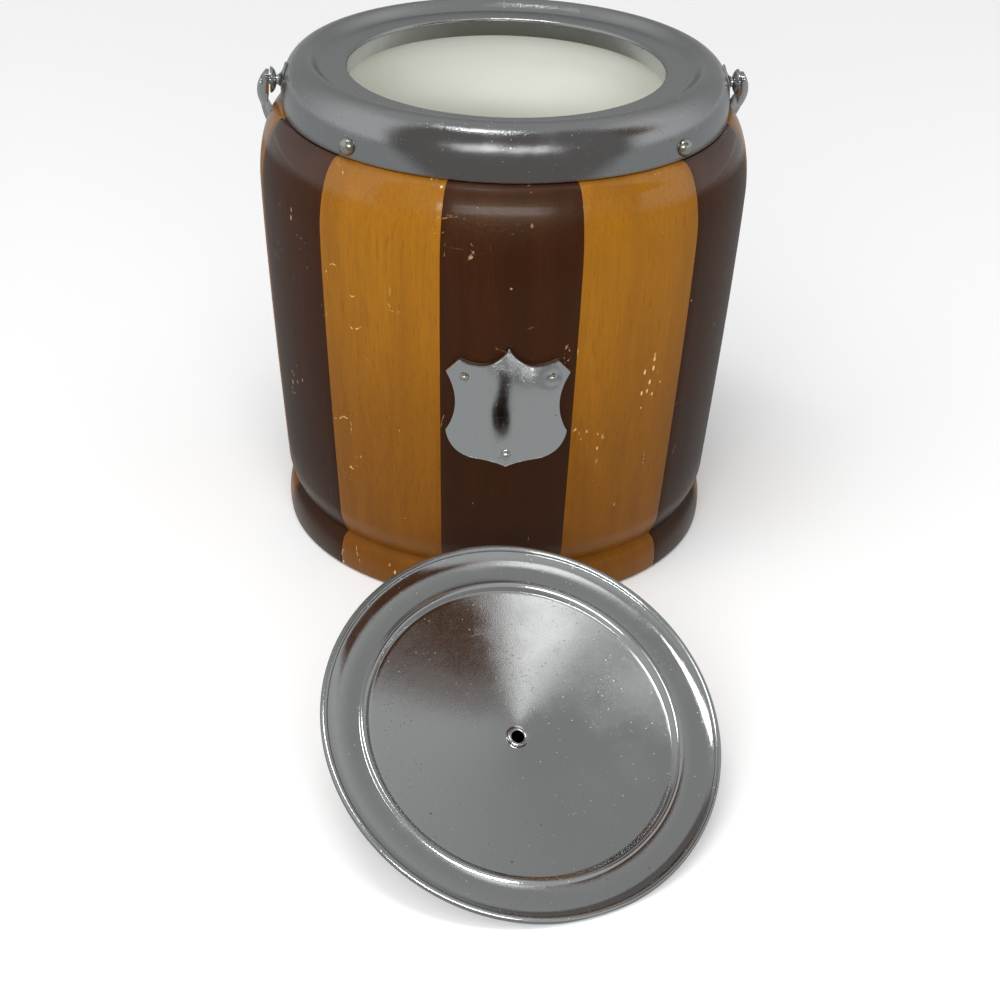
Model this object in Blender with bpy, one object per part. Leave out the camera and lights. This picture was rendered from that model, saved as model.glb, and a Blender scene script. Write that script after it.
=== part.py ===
"""Biscuit barrel: a staved wooden barrel with a pressed chrome collar, a swing bail,
a glazed liner and a lift-off lid that lies upside down in front of it.

Blender 4.5, metres, +Z up. The barrel stands on z = 0 with its axis on Z and its
front towards -Y. The lid lies on the same surface, resting on its knob and its rim.
"""

from math import asin, cos, degrees, hypot, pi, radians, sin, sqrt

import bmesh
import bpy
from mathutils import Matrix, Vector

MM = 0.001

# Clearances
SEAT_GAP = 0.3 * MM            # between pieces that rest on or beside each other
RUNNING_GAP = 0.3 * MM         # around the bail's pivots

# Staves
STAVE_COUNT = 12
FRONT_WIDENING = radians(1.0)  # the front half's staves are this much wider than 30 degrees
FOOT_RADIUS = 73.1 * MM
FOOT_MIDDLE_Z = 4.6 * MM
FOOT_EDGE = 0.8 * MM           # chamfer under the foot
GROOVE_RADIUS = 70.0 * MM
GROOVE_Z = 12.6 * MM
BELLY_FOOT_RADIUS = 73.3 * MM
BELLY_FOOT_Z = 23.0 * MM
BELLY_RADIUS = 80.1 * MM
BELLY_Z = 124.0 * MM
BELLY_POWER = 1.25             # how early the belly's swell fades
SHOULDER_Z = 146.0 * MM
SHOULDER_DROP = 8.0 * MM       # how far the shoulder rounds inwards
STAVE_BORE = 61.9 * MM
STAVE_CHAMFER_SHARE = 0.3      # of the neck's wall, at the hidden top edge
STAVE_CHAMFER_Z = 5.5 * MM
REBATE_DEPTH = 3.0 * MM        # the step in the staves' feet that the base board sits in
STAVE_STEPS = 4

# Base board
BASE_THICKNESS = 9.0 * MM

# Liner
LINER_WALL = 5.0 * MM
LINER_FLOOR = 6.0 * MM
LINER_RIM_ROUND = 1.6 * MM
LINER_FOOT_ROUND = 4.0 * MM

# Collar, a pressed sheet
SHEET = 1.0 * MM
COLLAR_RADIUS = 72.4 * MM
COLLAR_SKIRT = 5.7 * MM        # straight part of the skirt
COLLAR_SHOULDER_HEIGHT = 10.7 * MM
CREST_RADIUS = 64.5 * MM
LEDGE_OUTER_RADIUS = 59.2 * MM
LEDGE_DROP = 3.1 * MM          # from the crest down to the ledge that takes the lid
THROAT_RADIUS = 51.3 * MM
THROAT_DEPTH = 6.3 * MM
LIP_ROUND = 1.3 * MM
COLLAR_TURN = radians(1.9)     # the collar, its pins and the bail sit turned on the staves

# Domed pins
COLLAR_PIN_Z = 150.0 * MM
COLLAR_PIN_COUNT = 4
COLLAR_PIN_HEAD = 2.9 * MM
COLLAR_PIN_DOME = 1.9 * MM
COLLAR_PIN_SHANK = 1.1 * MM
COLLAR_PIN_BITE = 0.4          # the share of the neck's wall that the pins go into
PLAQUE_PIN_HEAD = 1.5 * MM
PLAQUE_PIN_DOME = 0.9 * MM
PLAQUE_PIN_SHANK = 0.6 * MM
PLAQUE_PIN_LENGTH = 5.5 * MM

# Bail and its pivots
PIVOT_Z = 153.9 * MM
PIVOT_REACH = 5.3 * MM         # from the collar's side to the middle of the strip's thickness
BAIL_SWELL = 1.8 * MM          # how much wider than the pivots the arch gets
BAIL_HEIGHT = 103.4 * MM       # from the pivots to the top of the arch
BAIL_STRIP = 6.5 * MM
BAIL_THICKNESS = 1.1 * MM
BAIL_BOW = 0.6 * MM            # how far the strip's edges curl inwards
CUP_HALF_LENGTH = 11.3 * MM    # the spoon-shaped ends
CUP_HALF_WIDTH = 4.6 * MM
CUP_DEPTH = 1.2 * MM
CUP_OFFSET = 6.8 * MM          # the cup's middle lies this far along the arch from its pivot
CUP_STEPS = 12
BAIL_STEPS = 10                # from a cup to the top of the arch
STUD_SHANK = 1.5 * MM
STUD_NECK = 1.8 * MM
STUD_FLARE = 5.6 * MM
STUD_ROOT = 1.2 * MM           # the flare starts this far inside the collar's side
WASHER_RADIUS = 4.2 * MM
WASHER_HEIGHT = 2.1 * MM

# Plaque, measured across the stave and up it
PLAQUE_THICKNESS = 2.0 * MM
PLAQUE_TOP_Z = 96.4 * MM
PLAQUE_BOTTOM_Z = 54.0 * MM
PLAQUE_EAR = (14.9 * MM, 92.2 * MM)
PLAQUE_CORNER = (19.0 * MM, 87.5 * MM)
PLAQUE_LOBE = (18.8 * MM, 66.4 * MM)
PLAQUE_TAIL = (8.2 * MM, 56.6 * MM)
PLAQUE_TOP_SAG = 3.7 * MM
PLAQUE_SIDE_SAG = 2.9 * MM
PLAQUE_LOBE_BULGE = 2.8 * MM
PLAQUE_TAIL_SAG = 0.4 * MM
PLAQUE_UPPER_PINS = (13.2 * MM, 86.1 * MM)
PLAQUE_LOWER_PIN_Z = 58.7 * MM
PLAQUE_STRIPS = 12

# Lid, measured from the plane of its rim
LID_SHEET = 0.8 * MM
LID_RADIUS = 56.9 * MM
LID_BEAD = 1.0 * MM
LID_FLANGE_RADIUS = 52.2 * MM
LID_FLANGE_HEIGHT = 2.0 * MM
LID_STEP_RADIUS = 44.2 * MM
LID_STEP_WIDTH = 1.0 * MM
LID_STEP_HEIGHT = 1.3 * MM
LID_DOME_RISE = 6.1 * MM
LID_DOME_POWER = 1.4           # 2 is a round dome, 1 is a cone
LID_TURN = radians(22.7)       # how far the lid's lowest edge is turned to the right
LID_PLACE = (2.9 * MM, -179.2 * MM)

# Knob
PLATE_RADIUS = 9.0 * MM
PLATE_THICKNESS = 1.0 * MM
KNOB_STEM = 5.2 * MM
KNOB_RADIUS = 10.6 * MM
KNOB_HALF_HEIGHT = 7.6 * MM
KNOB_STEM_LENGTH = 9.0 * MM
KNOB_FOOT = 6.8 * MM
KNOB_FOOT_SHARE = 0.4          # of the stem, where it tapers to its waist
KNOB_UNDERCUT = 50.0           # degrees below its widest line at which the ball meets the stem
RIVET_OUTER = 2.4 * MM
RIVET_BORE = 1.8 * MM
RIVET_FLANGE = 2.9 * MM
RIVET_FLANGE_THICKNESS = 0.6 * MM
RIVET_REACH = 8.0 * MM         # into the knob

# Facets
ROUND_STEPS = 48
SMALL_STEPS = 12
STUD_STEPS = 16
LINER_STEPS = 40
KNOB_STEPS = 24
COLLAR_SHOULDER_STEPS = 7
HALVINGS = 30                  # in the searches for a resting angle

# What follows from the sizes above
CREST_Z = SHOULDER_Z + SEAT_GAP + COLLAR_SKIRT + COLLAR_SHOULDER_HEIGHT
SKIRT_TOP_Z = SHOULDER_Z + SEAT_GAP + COLLAR_SKIRT
LEDGE_Z = CREST_Z - LEDGE_DROP
STAVE_TOP_Z = LEDGE_Z - SHEET - SEAT_GAP
NECK_RADIUS = COLLAR_RADIUS - SHEET - SEAT_GAP
SHOULDER_RADIUS = BELLY_RADIUS - SHOULDER_DROP
REBATE_RADIUS = STAVE_BORE + REBATE_DEPTH
LINER_RADIUS = STAVE_BORE - SEAT_GAP
LINER_BASE_Z = BASE_THICKNESS + SEAT_GAP
LINER_TOP_Z = LEDGE_Z - SHEET - SEAT_GAP
NECK_WALL = NECK_RADIUS - STAVE_BORE
COLLAR_PIN_SPACING = 2 * pi / COLLAR_PIN_COUNT
COLLAR_PIN_LENGTH = SHEET + SEAT_GAP + NECK_WALL * COLLAR_PIN_BITE
PIVOT_SPAN = COLLAR_RADIUS + PIVOT_REACH
BAIL_HALF_WIDTH = PIVOT_SPAN + BAIL_SWELL
DOME_FOOT_HEIGHT = LID_FLANGE_HEIGHT + LID_STEP_HEIGHT
DOME_INSIDE_HEIGHT = DOME_FOOT_HEIGHT + LID_DOME_RISE
DOME_FOOT_RADIUS = LID_STEP_RADIUS - LID_STEP_WIDTH
PLATE_BASE = DOME_INSIDE_HEIGHT + LID_SHEET + SEAT_GAP
KNOB_BASE = PLATE_BASE + PLATE_THICKNESS + SEAT_GAP
RIVET_HOLE = RIVET_OUTER + SEAT_GAP


def clear_scene():
    for thing in list(bpy.data.objects):
        bpy.data.objects.remove(thing, do_unlink=True)


def make_material(name, colour, roughness, metallic):
    material = bpy.data.materials.new(name)
    material.use_nodes = True
    shader = material.node_tree.nodes["Principled BSDF"]
    shader.inputs["Base Color"].default_value = (*colour, 1.0)
    shader.inputs["Roughness"].default_value = roughness
    shader.inputs["Metallic"].default_value = metallic
    return material


def add_object(name, bm, material, smooth_angle=radians(40)):
    """Close the mesh, point its faces outwards and put it in the scene."""
    bmesh.ops.remove_doubles(bm, verts=bm.verts[:], dist=0.001 * MM)
    bmesh.ops.recalc_face_normals(bm, faces=bm.faces[:])
    mesh = bpy.data.meshes.new(name)
    bm.to_mesh(mesh)
    bm.free()
    mesh.materials.append(material)
    mesh.shade_smooth()
    mesh.set_sharp_from_angle(angle=smooth_angle)
    thing = bpy.data.objects.new(name, mesh)
    bpy.context.scene.collection.objects.link(thing)
    return thing


def make_cutter(name, bm):
    """A guide solid for Boolean cuts, left out of the finished object."""
    cutter = add_object(name, bm, make_material(name, (1, 0, 0), 0.5, 0.0))
    cutter.hide_render = True
    cutter.display_type = "WIRE"
    return cutter


def cut(thing, cutter):
    modifier = thing.modifiers.new("cut_" + cutter.name, "BOOLEAN")
    modifier.operation = "DIFFERENCE"
    modifier.solver = "EXACT"
    modifier.object = cutter


# Outlines are lists of (radius, height) points

def arc(centre, radii, start, end, steps):
    """Points along an ellipse's arc, both ends included; angles in degrees."""
    points = []
    for step in range(steps + 1):
        angle = radians(start + (end - start) * step / steps)
        points.append((centre[0] + radii[0] * cos(angle), centre[1] + radii[1] * sin(angle)))
    return points


def sagging(start, end, sag, steps):
    """Points from start to end on a shallow curve, bulging left by sag; the end is left out."""
    along = (end[0] - start[0], end[1] - start[1])
    length = hypot(*along)
    left = (-along[1] / length, along[0] / length)
    points = []
    for step in range(steps):
        part = step / steps
        bulge = 4 * sag * part * (1 - part)
        points.append((
            start[0] + along[0] * part + left[0] * bulge,
            start[1] + along[1] * part + left[1] * bulge,
        ))
    return points


def offset_path(path, distance):
    """The path moved sideways to its left by distance, with mitred corners."""
    moved = []
    for index, point in enumerate(path):
        normals = []
        for first, second in ((index - 1, index), (index, index + 1)):
            if first < 0 or second >= len(path):
                continue
            run = Vector(path[second]) - Vector(path[first])
            normals.append(Vector((-run.y, run.x)).normalized())
        total = normals[0] + normals[-1]
        scale = distance * 2 / total.length_squared
        moved.append((point[0] + total.x * scale, point[1] + total.y * scale))
    return moved


def turned(outline, steps, closed=False):
    """A solid of revolution about Z. An open outline begins and ends on the axis."""
    bm = bmesh.new()
    rings = []
    for radius, height in outline:
        if radius < 0.001 * MM:
            rings.append([bm.verts.new((0, 0, height))] * steps)
            continue
        ring = []
        for step in range(steps):
            angle = 2 * pi * step / steps
            ring.append(bm.verts.new((radius * sin(angle), -radius * cos(angle), height)))
        rings.append(ring)
    pairs = list(zip(rings, rings[1:]))
    if closed:
        pairs.append((rings[-1], rings[0]))
    for lower, upper in pairs:
        for step in range(steps):
            following = (step + 1) % steps
            corners = [lower[step], lower[following], upper[following], upper[step]]
            corners = list(dict.fromkeys(corners))
            if len(corners) > 2:
                bm.faces.new(corners)
    return bm


def wedge(outline, start, end, steps):
    """A closed outline swept about Z from one angle to another, with flat ends."""
    bm = bmesh.new()
    sections = []
    for step in range(steps + 1):
        angle = start + (end - start) * step / steps
        sections.append([bm.verts.new((r * sin(angle), -r * cos(angle), z)) for r, z in outline])
    for near, far in zip(sections, sections[1:]):
        for index in range(len(outline)):
            following = (index + 1) % len(outline)
            bm.faces.new((near[index], near[following], far[following], far[index]))
    bm.faces.new(sections[0])
    bm.faces.new(list(reversed(sections[-1])))
    return bm


def outward_frame(angle, radius, height):
    """A frame on the barrel's side whose Z points straight out."""
    turn = Matrix.Rotation(angle, 4, "Z")
    lay_down = Matrix.Rotation(radians(90), 4, "X")
    return turn @ Matrix.Translation((0, -radius, height)) @ lay_down


def body_radius(z):
    """The radius of the staves' outer surface at a height up to the shoulder's top."""
    if z <= GROOVE_Z:
        reach = min(1.0, abs(z - FOOT_MIDDLE_Z) / (GROOVE_Z - FOOT_MIDDLE_Z))
        return GROOVE_RADIUS + (FOOT_RADIUS - GROOVE_RADIUS) * sqrt(1 - reach ** 2)
    if z <= BELLY_FOOT_Z:
        part = (z - GROOVE_Z) / (BELLY_FOOT_Z - GROOVE_Z)
        return GROOVE_RADIUS + (BELLY_FOOT_RADIUS - GROOVE_RADIUS) * sin(pi / 2 * part)
    if z <= BELLY_Z:
        part = (z - BELLY_FOOT_Z) / (BELLY_Z - BELLY_FOOT_Z)
        swell = 1 - (1 - part) ** BELLY_POWER
        return BELLY_FOOT_RADIUS + (BELLY_RADIUS - BELLY_FOOT_RADIUS) * swell
    reach = min(1.0, (z - BELLY_Z) / (SHOULDER_Z - BELLY_Z))
    return SHOULDER_RADIUS + SHOULDER_DROP * sqrt(1 - reach ** 2)


def between(low, high, steps):
    return [low + (high - low) * step / steps for step in range(steps)]


def stave_outline():
    foot_radius = body_radius(FOOT_EDGE)
    outline = [(REBATE_RADIUS, 0.0), (foot_radius - FOOT_EDGE, 0.0)]
    heights = between(FOOT_EDGE, FOOT_MIDDLE_Z, 1)
    heights += between(FOOT_MIDDLE_Z, GROOVE_Z, 4)
    heights += between(GROOVE_Z, BELLY_FOOT_Z, 3)
    heights += between(BELLY_FOOT_Z, BELLY_Z, 5)
    outline += [(body_radius(z), z) for z in heights]
    height = SHOULDER_Z - BELLY_Z
    outline += arc((SHOULDER_RADIUS, BELLY_Z), (SHOULDER_DROP, height), 0, 90, 6)
    chamfer = NECK_WALL * STAVE_CHAMFER_SHARE
    outline += [
        (NECK_RADIUS, SHOULDER_Z),
        (NECK_RADIUS, STAVE_TOP_Z - STAVE_CHAMFER_Z),
        (NECK_RADIUS - chamfer, STAVE_TOP_Z),
        (STAVE_BORE, STAVE_TOP_Z),
        (STAVE_BORE, BASE_THICKNESS + SEAT_GAP),
        (REBATE_RADIUS, BASE_THICKNESS + SEAT_GAP),
    ]
    return outline


def stave_edges():
    """The joint angles, the front stave centred on the front."""
    half = STAVE_COUNT // 2
    front = 2 * pi / STAVE_COUNT + FRONT_WIDENING
    rear = 2 * pi / STAVE_COUNT - FRONT_WIDENING
    edges = [-front / 2]
    for index in range(STAVE_COUNT):
        in_front = index <= half // 2 or index > STAVE_COUNT - half // 2
        edges.append(edges[-1] + (front if in_front else rear))
    return edges


def make_staves(dark, honey):
    outline = stave_outline()
    edges = stave_edges()
    inset = SEAT_GAP / 2 / BELLY_RADIUS
    staves = []
    for index in range(STAVE_COUNT):
        start = edges[index] + inset
        end = edges[index + 1] - inset
        material = dark if index % 2 == 0 else honey
        name = "stave_%02d" % (index + 1)
        staves.append(add_object(name, wedge(outline, start, end, STAVE_STEPS), material))
    return staves


def make_base_board(wood):
    """A disc flush with the staves' feet; they stop short of it all round and above."""
    radius = REBATE_RADIUS - SEAT_GAP
    outline = [(0, 0), (radius, 0), (radius, BASE_THICKNESS), (0, BASE_THICKNESS)]
    return add_object("base_board", turned(outline, ROUND_STEPS), wood)


def make_liner(glaze):
    inside = LINER_RADIUS - LINER_WALL
    rim = LINER_RIM_ROUND
    foot = LINER_FOOT_ROUND
    floor_z = LINER_BASE_Z + LINER_FLOOR
    outline = [(0, LINER_BASE_Z)]
    outline += arc((LINER_RADIUS - foot, LINER_BASE_Z + foot), (foot, foot), -90, 0, 3)
    outline += arc((LINER_RADIUS - rim, LINER_TOP_Z - rim), (rim, rim), 0, 90, 3)
    outline += arc((inside + rim, LINER_TOP_Z - rim), (rim, rim), 90, 180, 3)
    outline += arc((inside - foot, floor_z + foot), (foot, foot), 0, -90, 3)
    outline.append((0, floor_z))
    return add_object("liner", turned(outline, LINER_STEPS), glaze)


def collar_face():
    """The collar's visible face, from the skirt's bottom edge over the crest to the throat."""
    path = [(COLLAR_RADIUS, SHOULDER_Z + SEAT_GAP)]
    radii = (COLLAR_RADIUS - CREST_RADIUS, COLLAR_SHOULDER_HEIGHT)
    path += arc((CREST_RADIUS, SKIRT_TOP_Z), radii, 0, 90, COLLAR_SHOULDER_STEPS)
    for step in range(1, 4):
        part = step / 4
        radius = CREST_RADIUS + (LEDGE_OUTER_RADIUS - CREST_RADIUS) * part
        path.append((radius, LEDGE_Z + LEDGE_DROP * (1 + cos(pi * part)) / 2))
    path.append((LEDGE_OUTER_RADIUS, LEDGE_Z))
    path += arc((THROAT_RADIUS + LIP_ROUND, LEDGE_Z - LIP_ROUND), (LIP_ROUND, LIP_ROUND), 90, 180, 3)
    path.append((THROAT_RADIUS, LEDGE_Z - THROAT_DEPTH))
    return path


def make_collar(chrome):
    face = collar_face()
    outline = face + list(reversed(offset_path(face, SHEET)))
    return add_object("collar", turned(outline, ROUND_STEPS, closed=True), chrome)


def pin_outline(head, dome, shank, length):
    """A domed pin along Z; zero is the face that its head sits on."""
    outline = [(0, SEAT_GAP - length), (shank, SEAT_GAP - length), (shank, SEAT_GAP)]
    outline += arc((0, SEAT_GAP), (head, dome), 0, 90, 4)
    return outline


def pin_hole(shank, length):
    """A cutter for the pin's shank, from past its tip to well outside."""
    radius = shank + SEAT_GAP
    return turned([(0, -length), (radius, -length), (radius, length), (0, length)], SMALL_STEPS)


def joined(pieces, frames):
    """Several small meshes in one, each placed by its frame."""
    whole = bmesh.new()
    for piece, frame in zip(pieces, frames):
        piece.transform(frame)
        mesh = bpy.data.meshes.new("part")
        piece.to_mesh(mesh)
        piece.free()
        whole.from_mesh(mesh)
        bpy.data.meshes.remove(mesh)
    return whole


def make_collar_pins(chrome, collar, staves):
    frames = []
    for index in range(COLLAR_PIN_COUNT):
        angle = COLLAR_TURN + COLLAR_PIN_SPACING * (index + 0.5)
        frames.append(outward_frame(angle, COLLAR_RADIUS, COLLAR_PIN_Z))
    outline = pin_outline(COLLAR_PIN_HEAD, COLLAR_PIN_DOME, COLLAR_PIN_SHANK, COLLAR_PIN_LENGTH)
    for index, frame in enumerate(frames):
        pin = add_object("collar_pin_%d" % (index + 1), turned(outline, SMALL_STEPS), chrome)
        pin.matrix_world = frame
    holes = [pin_hole(COLLAR_PIN_SHANK, COLLAR_PIN_LENGTH) for _ in frames]
    cutter = make_cutter("collar_pin_holes", joined(holes, frames))
    for thing in [collar] + staves:
        cut(thing, cutter)


# Bail: "run" is the way along the arch from a pivot, negative past it

def arch_shape():
    """Centre height and half height of the arch's ellipse above the pivots."""
    sink = sqrt(1 - (PIVOT_SPAN / BAIL_HALF_WIDTH) ** 2)
    half_height = BAIL_HEIGHT / (1 + sink)
    return half_height * sink, half_height


def arch_place(run):
    """A point on the right half of the arch and the outward normal there."""
    centre, half_height = arch_shape()
    angle = max(0, run) / half_height - asin(centre / half_height)
    normal = Vector((half_height * cos(angle), 0, BAIL_HALF_WIDTH * sin(angle))).normalized()
    place = Vector((BAIL_HALF_WIDTH * cos(angle), 0, centre + half_height * sin(angle)))
    along = Vector((-normal.z, 0, normal.x))
    return place + along * min(0, run), normal


def cup_part(run):
    """0 at the cup's middle, -1 at its tip and 1 where the strip leaves it."""
    return max(-1, min(1, (run - CUP_OFFSET) / CUP_HALF_LENGTH))


def half_width_at(run):
    part = cup_part(run)
    rounded = CUP_HALF_WIDTH * sqrt(1 - part ** 2)
    return rounded if part < 0 else max(rounded, BAIL_STRIP / 2)


def bail_point(run, sideways, depth):
    """A point of the right half, at a depth under its outer face."""
    place, normal = arch_place(run)
    swell = CUP_DEPTH * (1 - cup_part(run) ** 2)
    curl = swell * (sideways / half_width_at(run)) ** 2 + BAIL_BOW * (2 * sideways / BAIL_STRIP) ** 2
    return place + normal * (swell - curl + BAIL_THICKNESS / 2 - depth) + Vector((0, sideways, 0))


def bail_runs():
    """The sections' places from the tip to the top of the arch."""
    runs = []
    for step in range(CUP_STEPS):
        runs.append(CUP_OFFSET - CUP_HALF_LENGTH * cos(pi * (step + 0.5) / CUP_STEPS))
    centre, half_height = arch_shape()
    top = half_height * (pi / 2 + asin(centre / half_height))
    start = CUP_OFFSET + CUP_HALF_LENGTH
    runs += [start + (top - start) * step / BAIL_STEPS for step in range(BAIL_STEPS + 1)]
    return runs


def bail_sections(samples=4):
    """Rings of points round the strip, from the right tip to the left one."""
    right = []
    for run in bail_runs():
        half_width = half_width_at(run)
        across = [half_width * (2 * sample / samples - 1) for sample in range(samples + 1)]
        outer = [bail_point(run, sideways, 0) for sideways in across]
        inner = [bail_point(run, sideways, BAIL_THICKNESS) for sideways in reversed(across)]
        right.append(outer + inner)
    left = [[Vector((-point.x, point.y, point.z)) for point in ring] for ring in reversed(right[:-1])]
    return right + left


def over_disc(radius, depth):
    """The bail's distances from the barrel's axis over a disc about the pivot."""
    distances = []
    for ring in (0.5, 1):
        for step in range(SMALL_STEPS):
            angle = 2 * pi * step / SMALL_STEPS
            run = radius * ring * cos(angle)
            edge = half_width_at(run)
            sideways = max(-edge, min(edge, radius * ring * sin(angle)))
            distances.append(bail_point(run, sideways, depth).x)
    return distances


def washer_base():
    return min(over_disc(WASHER_RADIUS, BAIL_THICKNESS)) - RUNNING_GAP


def stud_outline():
    """The pivot stud along its axis: (radius, distance from the barrel's axis)."""
    washer_face = washer_base() - WASHER_HEIGHT - SEAT_GAP
    flare_start = COLLAR_RADIUS - STUD_ROOT
    inner_end = COLLAR_RADIUS - COLLAR_SHOULDER_HEIGHT / 2
    flush_end = min(over_disc(STUD_SHANK, SHEET / 4))
    outline = [(0, inner_end), (STUD_FLARE, inner_end), (STUD_FLARE, flare_start)]
    for step in range(1, 5):
        part = step / 4
        radius = STUD_NECK + (STUD_FLARE - STUD_NECK) * (1 - part) ** 2
        outline.append((radius, flare_start + (washer_face - flare_start) * part))
    outline += [(STUD_SHANK, washer_face), (STUD_SHANK, flush_end), (0, flush_end)]
    return outline


def washer_outline():
    base = washer_base()
    hole = STUD_SHANK + SEAT_GAP
    outline = [(hole, base)]
    dome = arc((0, base), (WASHER_RADIUS, -WASHER_HEIGHT), 0, 90, 7)
    outline += [point for point in dome if point[0] > hole]
    outline.append((hole, base - WASHER_HEIGHT * sqrt(1 - (hole / WASHER_RADIUS) ** 2)))
    return outline


def pivot_frame():
    """The bail's own axis along X, turned with the collar."""
    return Matrix.Rotation(COLLAR_TURN, 4, "Z") @ Matrix.Translation((0, 0, PIVOT_Z))


def make_pivots(chrome):
    """A stud and a washer on each side; the stud's flare follows the collar's side."""
    path = offset_path(collar_face(), -SEAT_GAP)[:COLLAR_SHOULDER_STEPS + 2]
    path = [(path[0][0], SHOULDER_Z - COLLAR_SHOULDER_HEIGHT)] + path
    outline = [(0, path[0][1])] + path + [(0, path[-1][1])]
    cutter = make_cutter("collar_envelope", turned(outline, ROUND_STEPS))
    for side, name in ((-1, "left"), (1, "right")):
        lay_over = pivot_frame() @ Matrix.Rotation(side * radians(90), 4, "Y")
        stud = add_object("pivot_stud_" + name, turned(stud_outline(), STUD_STEPS), chrome)
        stud.matrix_world = lay_over
        cut(stud, cutter)
        washer = add_object("bail_washer_" + name, turned(washer_outline(), STUD_STEPS, closed=True), chrome)
        washer.matrix_world = lay_over


def bail_clears(angle):
    """Whether the bail, hanging back at this angle below level, stays off the staves."""
    for ring in bail_sections():
        for point in ring:
            back = point.z * cos(angle) - point.y * sin(angle)
            height = PIVOT_Z - point.z * sin(angle) - point.y * cos(angle)
            if height < SHOULDER_Z and hypot(point.x, back) < body_radius(height) + SEAT_GAP:
                return False
    return True


def bail_rest_angle():
    """The angle below level at which the hanging bail comes to rest on the barrel."""
    low, high = 0.0, radians(89)
    for _ in range(HALVINGS):
        middle = (low + high) / 2
        if bail_clears(middle):
            low = middle
        else:
            high = middle
    return low


def make_bail(chrome):
    bm = bmesh.new()
    rings = [[bm.verts.new(point) for point in ring] for ring in bail_sections()]
    for near, far in zip(rings, rings[1:]):
        for index in range(len(near)):
            following = (index + 1) % len(near)
            bm.faces.new((near[index], near[following], far[following], far[index]))
    bm.faces.new(rings[0])
    bm.faces.new(list(reversed(rings[-1])))
    bail = add_object("bail", bm, chrome)
    hang = pivot_frame() @ Matrix.Rotation(-radians(90) - bail_rest_angle(), 4, "X")
    bail.matrix_world = hang
    radius = STUD_SHANK + RUNNING_GAP
    reach = PIVOT_SPAN + BAIL_STRIP
    hole = turned([(0, -reach), (radius, -reach), (radius, reach), (0, reach)], SMALL_STEPS)
    cutter = make_cutter("bail_holes", joined([hole], [Matrix.Rotation(radians(90), 4, "Y")]))
    cutter.matrix_world = hang
    cut(bail, cutter)
    return bail


# Plaque

def plaque_half():
    """The right half of the shield, from the top point down to the bottom point."""
    top = (0, PLAQUE_TOP_Z)
    bottom = (0, PLAQUE_BOTTOM_Z)
    half = sagging(top, PLAQUE_EAR, -PLAQUE_TOP_SAG, 5)
    half += [PLAQUE_EAR]
    half += sagging(PLAQUE_CORNER, PLAQUE_LOBE, -PLAQUE_SIDE_SAG, 6)
    half += sagging(PLAQUE_LOBE, PLAQUE_TAIL, PLAQUE_LOBE_BULGE, 5)
    half += sagging(PLAQUE_TAIL, bottom, -PLAQUE_TAIL_SAG, 3)
    half.append(bottom)
    return half


def bend_to_barrel(bm):
    """Wrap flat (across, up, out) points round the staves' outer surface."""
    for vert in bm.verts:
        across, up, out = vert.co
        radius = body_radius(up)
        angle = across / radius
        reach = radius + SEAT_GAP + out
        vert.co = (reach * sin(angle), -reach * cos(angle), up)


def make_plaque(chrome):
    half = plaque_half()
    outline = half + [(-u, v) for u, v in reversed(half[1:-1])]
    bm = bmesh.new()
    back = bm.faces.new([bm.verts.new((u, v, 0)) for u, v in outline])
    extruded = bmesh.ops.extrude_face_region(bm, geom=[back])
    lifted = [item for item in extruded["geom"] if isinstance(item, bmesh.types.BMVert)]
    bmesh.ops.translate(bm, verts=lifted, vec=(0, 0, PLAQUE_THICKNESS))
    for strip in range(1, PLAQUE_STRIPS):
        across = PLAQUE_CORNER[0] * (2 * strip / PLAQUE_STRIPS - 1)
        geometry = bm.verts[:] + bm.edges[:] + bm.faces[:]
        bmesh.ops.bisect_plane(bm, geom=geometry, dist=0.01 * MM, plane_co=(across, 0, 0), plane_no=(1, 0, 0))
    bmesh.ops.triangulate(bm, faces=bm.faces[:])
    bend_to_barrel(bm)
    return add_object("shield_plaque", bm, chrome)


def make_plaque_pins(chrome, plaque, stave):
    across, up = PLAQUE_UPPER_PINS
    places = {
        "left": (-across, up),
        "right": (across, up),
        "bottom": (0, PLAQUE_LOWER_PIN_Z),
    }
    frames = {}
    for name, (u, v) in places.items():
        radius = body_radius(v)
        frames[name] = outward_frame(u / radius, radius + SEAT_GAP + PLAQUE_THICKNESS, v)
    outline = pin_outline(PLAQUE_PIN_HEAD, PLAQUE_PIN_DOME, PLAQUE_PIN_SHANK, PLAQUE_PIN_LENGTH)
    for name, frame in frames.items():
        pin = add_object("plaque_pin_" + name, turned(outline, SMALL_STEPS), chrome)
        pin.matrix_world = frame
    holes = [pin_hole(PLAQUE_PIN_SHANK, PLAQUE_PIN_LENGTH) for _ in frames]
    cutter = make_cutter("plaque_pin_holes", joined(holes, frames.values()))
    cut(plaque, cutter)
    cut(stave, cutter)


# Lid: radius, and height above the plane of the rim towards the knob

def dome_height(radius):
    return DOME_FOOT_HEIGHT + LID_DOME_RISE * (1 - (radius / DOME_FOOT_RADIUS) ** LID_DOME_POWER)


def lid_outline():
    steps = 6
    radii = [RIVET_HOLE + (DOME_FOOT_RADIUS - RIVET_HOLE) * step / steps for step in range(steps + 1)]
    under = [(radius, dome_height(radius)) for radius in radii]
    under += [(LID_STEP_RADIUS, LID_FLANGE_HEIGHT), (LID_FLANGE_RADIUS, LID_FLANGE_HEIGHT)]
    over = offset_path(under, LID_SHEET)
    over[0] = (RIVET_HOLE, over[0][1])
    bead_centre = (LID_RADIUS - LID_BEAD, LID_BEAD)
    bead = arc(bead_centre, (LID_BEAD, LID_BEAD), -170, 120, 8)
    return under + bead + list(reversed(over))


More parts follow.
